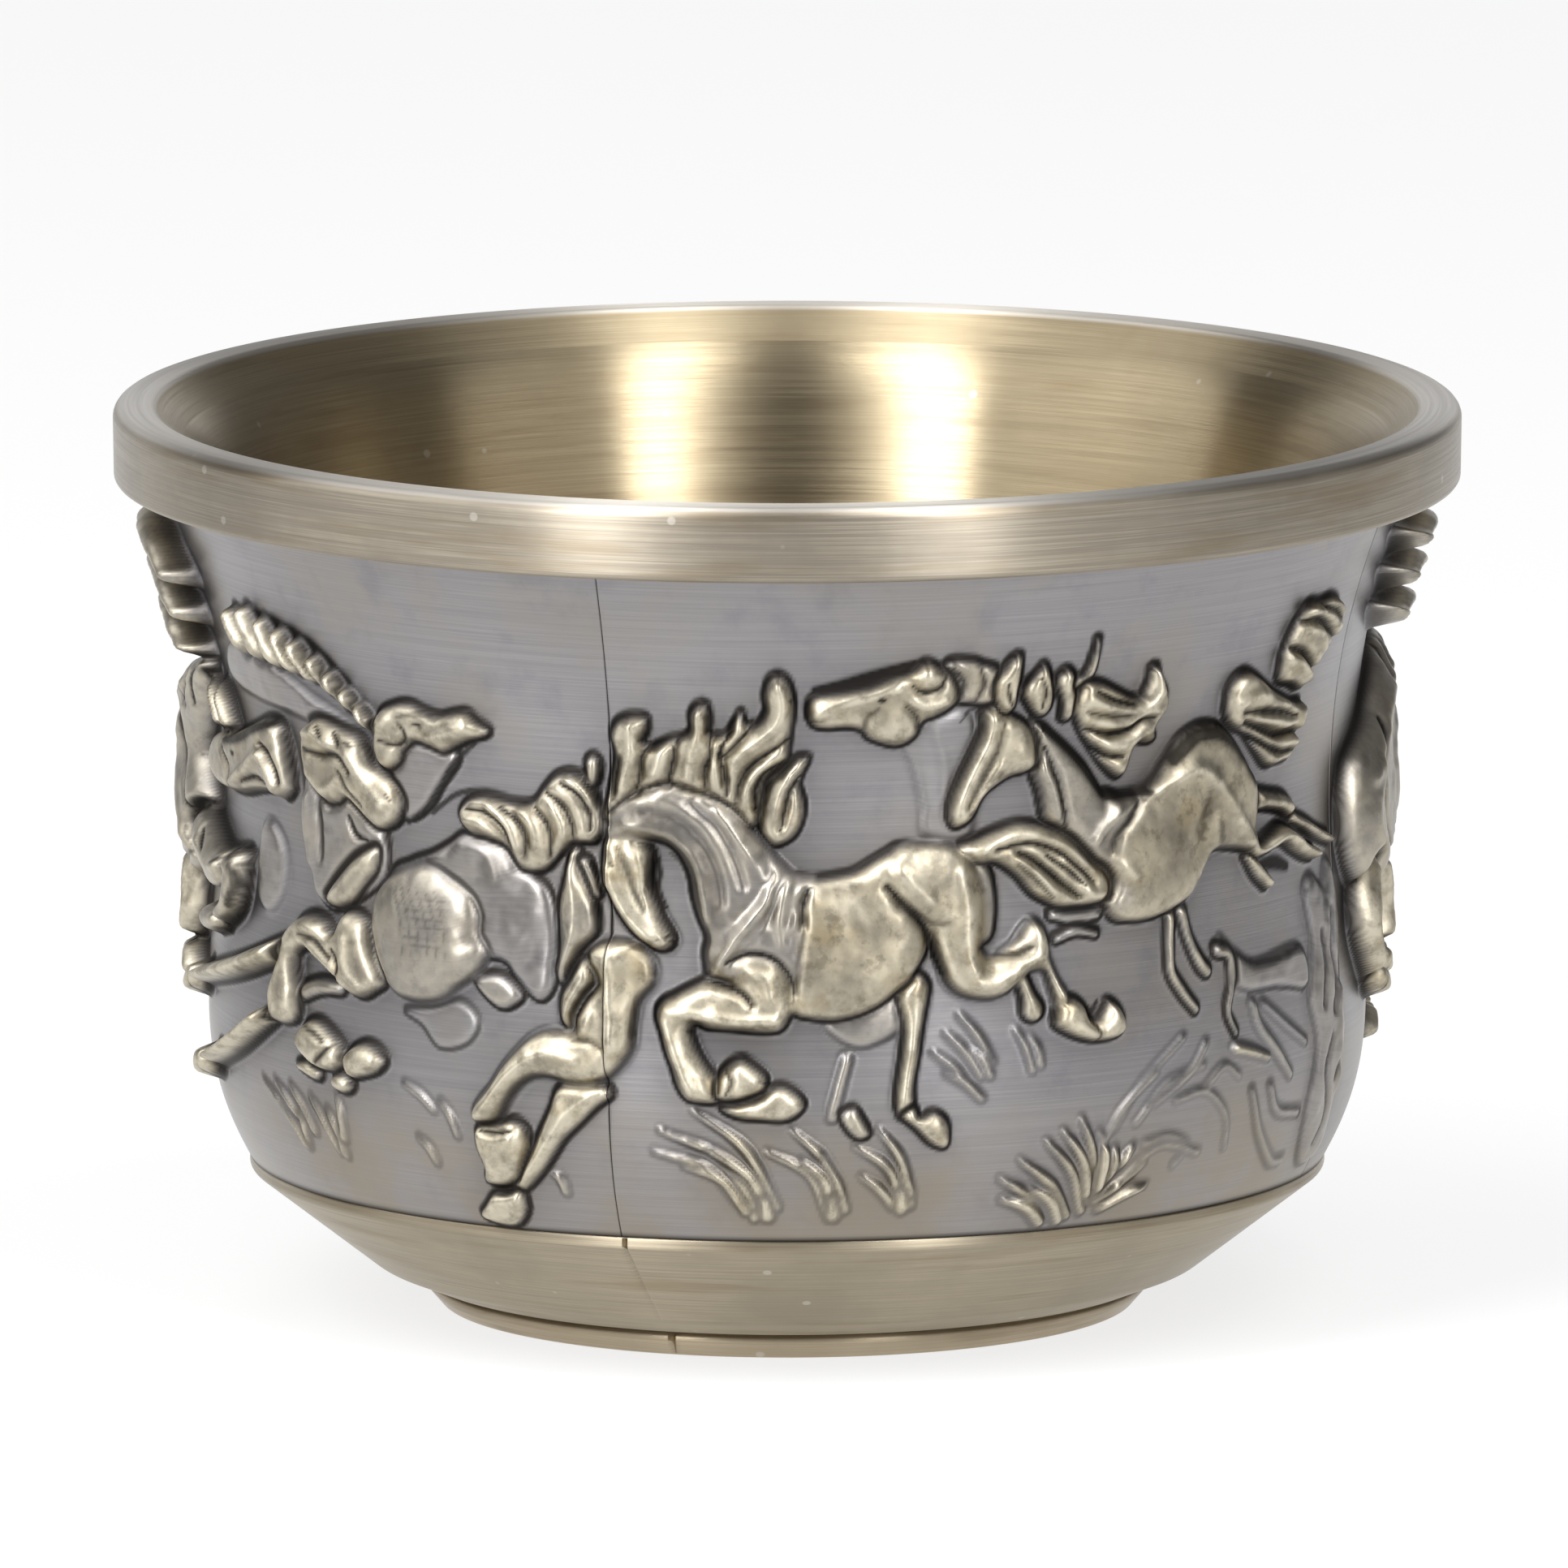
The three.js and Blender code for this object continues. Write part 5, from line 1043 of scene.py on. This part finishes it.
def axis_place(tree):
    """The height on the cup and the distance from its axis."""
    place = node(tree, "ShaderNodeTexCoord").outputs["Object"]
    flat = node(tree, "ShaderNodeVectorMath", operation="MULTIPLY")
    flat.inputs[1].default_value = (1, 1, 0)
    tree.links.new(place, flat.inputs[0])
    radius = node(tree, "ShaderNodeVectorMath", operation="LENGTH")
    tree.links.new(flat.outputs[0], radius.inputs[0])
    split = node(tree, "ShaderNodeSeparateXYZ")
    tree.links.new(place, split.inputs[0])
    return split.outputs["Z"], radius.outputs["Value"]


def brush_noise(tree, along, across, detail=3.0):
    """Noise drawn out round the axis, in lines as a brush leaves them; along and across are per metre."""
    height, radius = axis_place(tree)
    split = node(tree, "ShaderNodeSeparateXYZ")
    tree.links.new(node(tree, "ShaderNodeTexCoord").outputs["Object"], split.inputs[0])
    joined = node(tree, "ShaderNodeCombineXYZ")
    tree.links.new(split.outputs["X"], joined.inputs["X"])
    tree.links.new(split.outputs["Y"], joined.inputs["Y"])
    tree.links.new(math_node(tree, "ADD", height, radius), joined.inputs["Z"])
    scaled = node(tree, "ShaderNodeVectorMath", operation="MULTIPLY")
    scaled.inputs[1].default_value = (along, along, across)
    tree.links.new(joined.outputs[0], scaled.inputs[0])
    noise = node(tree, "ShaderNodeTexNoise", Scale=1.0, Detail=detail, Roughness=0.6)
    tree.links.new(scaled.outputs[0], noise.inputs["Vector"])
    return noise.outputs["Fac"]


def brush_lines(tree, fine, broad):
    """Fine and broad brush marks together."""
    fine_share = math_node(tree, "MULTIPLY", fine, 0.6)
    broad_share = math_node(tree, "MULTIPLY", broad, 0.4)
    return math_node(tree, "ADD", fine_share, broad_share)


def spots(tree, scale, detail=4.0):
    """Plain cloudy noise, with its scale per metre."""
    place = node(tree, "ShaderNodeTexCoord").outputs["Object"]
    noise = node(tree, "ShaderNodeTexNoise", Scale=scale, Detail=detail, Roughness=0.6)
    tree.links.new(place, noise.inputs["Vector"])
    return noise.outputs["Fac"]


def metal(name, anisotropy):
    """A metal whose gloss is drawn out up the wall, as round brushing does. Returns it with its shader."""
    made = bpy.data.materials.new(name)
    made.use_nodes = True
    tree = made.node_tree
    shader = tree.nodes["Principled BSDF"]
    shader.inputs["Metallic"].default_value = 1.0
    shader.inputs["Anisotropic"].default_value = anisotropy
    shader.inputs["Anisotropic Rotation"].default_value = 0.25
    tangent = node(tree, "ShaderNodeTangent", direction_type="RADIAL", axis="Z")
    tree.links.new(tangent.outputs[0], shader.inputs["Tangent"])
    return made, tree, shader


def bumped(tree, shader, height, strength, distance):
    """Fine relief from a texture."""
    bump = node(tree, "ShaderNodeBump", Strength=strength, Distance=distance)
    tree.links.new(height, bump.inputs["Height"])
    tree.links.new(bump.outputs[0], shader.inputs["Normal"])


def specks(tree, scale):
    """Sparse small spots, with their cells per metre."""
    place = node(tree, "ShaderNodeTexCoord").outputs["Object"]
    cells = node(tree, "ShaderNodeTexVoronoi", Scale=scale)
    tree.links.new(place, cells.inputs["Vector"])
    return ramped(tree, cells.outputs["Distance"], 0.05, 0.08, 1.0, 0.0)


def brushed_metal(name, light, dark, roughness, anisotropy, inside=None):
    """Brass brushed round the axis, with soft clouds of patina, worn patches and a few pale specks.
    The rim's inner slope has the colours that inside gives, and its top edge is painted pale as a painted
    highlight."""
    made, tree, shader = metal(name, anisotropy)
    fine = brush_noise(tree, 110, 16000)
    broad = brush_noise(tree, 60, 6500)
    cloud = spots(tree, 170)
    lines = brush_lines(tree, fine, broad)
    if inside:
        place, radius = axis_place(tree)
        inner = ramped(tree, radius, 28.55 * MM, 28.35 * MM)
        light = mixed(tree, inner, light, inside[0])
        dark = mixed(tree, inner, dark, inside[1])
    colour = mixed(tree, ramped(tree, lines, 0.35, 0.65), dark, light)
    colour = mixed(tree, ramped(tree, cloud, 0.42, 0.7, 0.0, 0.6), colour, dark)
    blotch = brush_noise(tree, 90, 700)
    colour = mixed(tree, ramped(tree, blotch, 0.5, 0.7, 0.0, 0.5), colour, (0.27, 0.21, 0.13))
    colour = mixed(tree, math_node(tree, "MULTIPLY", specks(tree, 330), 0.35), colour, (0.75, 0.72, 0.66))
    if inside:
        # Painted highlight: the top edge of the lip is painted pale
        top = ramped(tree, place, 40.15 * MM, 40.33 * MM, 0.0, 0.8)
        colour = mixed(tree, top, colour, (0.66, 0.63, 0.58))
    tree.links.new(colour, shader.inputs["Base Color"])
    gloss = ramped(tree, broad, 0.3, 0.7, roughness - 0.04, roughness + 0.05)
    tree.links.new(gloss, shader.inputs["Roughness"])
    bumped(tree, shader, fine, 0.12, 0.00002)
    return made


# Colours of the cast wall
GROUND_DARK, GROUND_LIGHT = (0.265, 0.257, 0.266), (0.32, 0.31, 0.312)
GROUND_DUST, GROUND_CLOUD, GROUND_SOIL = (0.31, 0.285, 0.25), (0.2, 0.195, 0.215), (0.29, 0.25, 0.19)
BRASS_DARK, BRASS_LIGHT = (0.25, 0.222, 0.172), (0.43, 0.38, 0.28)
BRASS_BROWN, BRASS_PIT = (0.33, 0.265, 0.155), (0.15, 0.128, 0.09)
# The pale crest colour is rubbed wear with painted highlight, the near black patina with painted shade
RUBBED_EDGE_AND_HIGHLIGHT, DARK_PATINA_AND_SHADE = (0.68, 0.625, 0.5), (0.022, 0.019, 0.017)


def relief_metal():
    """Cast metal: grey brushed ground, brass on the raised forms, dark patina with painted shade in the
    hollows, pale rubbed wear with painted highlight on the crests.
    """
    made, tree, shader = metal("relief_patina", 0.6)
    attribute = {
        key: node(tree, "ShaderNodeAttribute", attribute_name=key).outputs["Fac"]
        for key in PANEL_FIELDS
    }
    fine = brush_noise(tree, 110, 15000)
    broad = brush_noise(tree, 60, 6000)
    cloud = spots(tree, 420)
    dust = spots(tree, 140)
    grain = spots(tree, 5000)
    lines = brush_lines(tree, fine, broad)
    ground = mixed(tree, ramped(tree, lines, 0.35, 0.65), GROUND_DARK, GROUND_LIGHT)
    ground = mixed(tree, ramped(tree, dust, 0.45, 0.7, 0.0, 0.6), ground, GROUND_DUST)
    ground = mixed(tree, ramped(tree, cloud, 0.5, 0.75, 0.0, 0.4), ground, GROUND_CLOUD)
    low = ramped(tree, axis_place(tree)[0], 15 * MM, 8 * MM)
    soil = math_node(tree, "MULTIPLY", low, ramped(tree, dust, 0.35, 0.6, 0.25, 0.75))
    ground = mixed(tree, soil, ground, GROUND_SOIL)
    brass = mixed(tree, ramped(tree, cloud, 0.35, 0.65), BRASS_DARK, BRASS_LIGHT)
    brass = mixed(tree, ramped(tree, spots(tree, 330), 0.52, 0.68, 0.0, 0.7), brass, BRASS_BROWN)
    brass = mixed(tree, ramped(tree, spots(tree, 1500), 0.5, 0.66, 0.0, 0.6), brass, BRASS_PIT)
    raised = math_node(tree, "MULTIPLY", ramped(tree, attribute["lift"], 0.03, 0.2), attribute["tone"])
    colour = mixed(tree, raised, ground, brass)
    worn = ramped(tree, spots(tree, 1100), 0.35, 0.6, 0.2, 0.85)
    # Painted highlight with rubbed wear: the crests of the raised forms are painted pale
    rubbed_and_highlight = math_node(tree, "MULTIPLY", attribute["crest"], worn)
    colour = mixed(tree, math_node(tree, "MULTIPLY", rubbed_and_highlight, attribute["tone"]), colour, RUBBED_EDGE_AND_HIGHLIGHT)
    # Patina with painted shade: the hollows and the dark lines go nearly black
    dark = math_node(tree, "MULTIPLY", attribute["hollow"], 0.97)
    colour = mixed(tree, dark, colour, DARK_PATINA_AND_SHADE)
    tree.links.new(colour, shader.inputs["Base Color"])
    rough = ramped(tree, raised, 0.0, 1.0, 0.36, 0.46)
    rough = math_node(tree, "ADD", rough, math_node(tree, "MULTIPLY", attribute["hollow"], 0.2))
    tree.links.new(rough, shader.inputs["Roughness"])
    relief = mixed(tree, raised, fine, grain)
    bumped(tree, shader, relief, 0.35, 0.00002)
    return made


def floor_material():
    """Pale floor that keeps the shadow, and shows white to the camera and in the metal."""
    made = bpy.data.materials.new("pale_floor")
    made.use_nodes = True
    tree = made.node_tree
    tree.nodes.clear()
    path = node(tree, "ShaderNodeLightPath")
    seen = math_node(tree, "ADD", path.outputs["Is Camera Ray"], path.outputs["Is Glossy Ray"], clamp=True)
    seen = math_node(tree, "ADD", seen, path.outputs["Is Transmission Ray"], clamp=True)
    strength = math_node(tree, "MULTIPLY", seen, 0.76)
    glow = node(tree, "ShaderNodeEmission", Color=(1, 1, 1, 1))
    tree.links.new(strength, glow.inputs["Strength"])
    matt = node(tree, "ShaderNodeBsdfDiffuse", Color=(0.2, 0.2, 0.2, 1))
    both = node(tree, "ShaderNodeAddShader")
    tree.links.new(glow.outputs[0], both.inputs[0])
    tree.links.new(matt.outputs[0], both.inputs[1])
    out = node(tree, "ShaderNodeOutputMaterial")
    tree.links.new(both.outputs[0], out.inputs["Surface"])
    return made


def add_floor():
    """A wide floor just under the cup."""
    half, below = 20.0, -0.00003
    mesh = bpy.data.meshes.new("floor")
    corners = [(-half, -half, below), (half, -half, below), (half, half, below), (-half, half, below)]
    mesh.from_pydata(corners, [], [(0, 1, 2, 3)])
    made = bpy.data.objects.new("floor", mesh)
    bpy.context.scene.collection.objects.link(made)
    mesh.materials.append(floor_material())


def add_softbox(name, azimuth, elevation, distance, width, height, power):
    """An area lamp aimed at the cup. Azimuth 0 is the camera's side, and it grows to the right."""
    lamp = bpy.data.lights.new(name, "AREA")
    lamp.shape = "RECTANGLE"
    lamp.size, lamp.size_y, lamp.energy = width, height, power
    made = bpy.data.objects.new(name, lamp)
    a, e = math.radians(azimuth), math.radians(elevation)
    way = Vector((math.sin(a) * math.cos(e), -math.cos(a) * math.cos(e), math.sin(e)))
    made.location = way * distance + Vector((0, 0, 0.02))
    made.rotation_mode = "QUATERNION"
    made.rotation_quaternion = way.to_track_quat("Z", "Y")
    bpy.context.scene.collection.objects.link(made)


# Lamps: name, azimuth and elevation in degrees, distance, width and height in metres, watts
LAMPS = (
    ("softbox_left", -34, 42, 0.6, 0.15, 0.75, 3.9),
    ("softbox_right", 30, 42, 0.6, 0.13, 0.75, 3.0),
    ("fill_left", -76, 40, 0.7, 0.7, 0.6, 2.8),
    ("fill_right", 57, 40, 0.6, 0.38, 0.6, 0.65),
    ("softbox_above", 0, 88, 0.7, 0.5, 0.5, 0.6),
    ("softbox_back", -163, 14, 1.0, 1.6, 0.4, 1.2),
)


def add_light():
    """The lamps, and a dim even light from all round."""
    for lamp in LAMPS:
        add_softbox(*lamp)
    world = bpy.data.worlds.new("studio")
    bpy.context.scene.world = world
    world.use_nodes = True
    back = world.node_tree.nodes["Background"]
    back.inputs["Color"].default_value = (0.17, 0.17, 0.175, 1)
    back.inputs["Strength"].default_value = 1.0


def add_camera():
    """The photograph's view: from the front, a little above, through a long lens."""
    distance, elevation = 2.0, math.radians(9.45)
    photo_pixels, pixels_per_metre = 1932, 27670
    aim = Vector((-0.145 * MM, 0, 23.2 * MM))
    camera = bpy.data.cameras.new("camera")
    camera.sensor_width = 36
    camera.lens = camera.sensor_width * distance * pixels_per_metre / photo_pixels
    made = bpy.data.objects.new("camera", camera)
    back = Vector((0, -math.cos(elevation), math.sin(elevation)))
    made.location = aim + back * distance
    made.rotation_mode = "QUATERNION"
    made.rotation_quaternion = back.to_track_quat("Z", "Y")
    bpy.context.scene.collection.objects.link(made)
    bpy.context.scene.camera = made


add_camera()
add_floor()
add_light()

LINER_COLOURS = (0.43, 0.36, 0.24), (0.33, 0.27, 0.175)
RIM_COLOURS = (0.44, 0.39, 0.31), (0.29, 0.256, 0.208)
rim_metal = brushed_metal("rim_brass", *RIM_COLOURS, 0.42, 0.9, LINER_COLOURS)
band_metal = brushed_metal("brushed_brass", (0.44, 0.38, 0.28), (0.31, 0.268, 0.2), 0.42, 0.9)
liner_metal = brushed_metal("liner_brass", *LINER_COLOURS, 0.34, 1.0)
# Painted light: the foot ring's brass has lighter colours than the band's, standing in for a brighter
# reflection
foot_metal_painted_lighter = brushed_metal("foot_brass_painted_lighter", (0.53, 0.445, 0.32), (0.40, 0.335, 0.24), 0.42, 0.9)
plate_metal = brushed_metal("base_metal", (0.40, 0.36, 0.28), (0.28, 0.25, 0.19), 0.5, 0.5)
patina = relief_metal()

SEAM_TICK = (SEAM_ANGLE + 0.005, 0.14, 0.18, 4.6, 6.7)
FOOT_NICK = (math.radians(-18.6), 0.3, 0.3, 0.1, 1.15)
finish_piece(lathe("rim_collar_finished", rim_collar()), "rim_collar", rim_metal)
finish_piece(lathe("inner_liner_finished", inner_liner()), "inner_liner", liner_metal)
band = lathe("lower_band_finished", lower_band(), nicks=[SEAM_TICK])
finish_piece(band, "lower_band", band_metal)
foot = lathe("foot_ring_finished", foot_ring(), nicks=[FOOT_NICK])
finish_piece(foot, "foot_ring", foot_metal_painted_lighter)
finish_piece(lathe("base_plate_finished", base_plate()), "base_plate", plate_metal)

frieze = Frieze()
for draw in DRAWING:
    draw(frieze)
fields = relief_fields(frieze)
PANELS = (
    ("relief_panel_front_right", PANEL_COLUMNS, 0.0),
    ("relief_panel_back_right", 0, math.pi),
    ("relief_panel_back_left", PANEL_COLUMNS, math.pi),
    ("relief_panel_front_left", 0, 0.0),
)
for panel, first_column, turn in PANELS:
    made = relief_panel(panel + "_finished", frieze, fields, first_column, turn)
    finish_piece(made, panel, patina)

bpy.context.scene.view_settings.view_transform = "Standard"
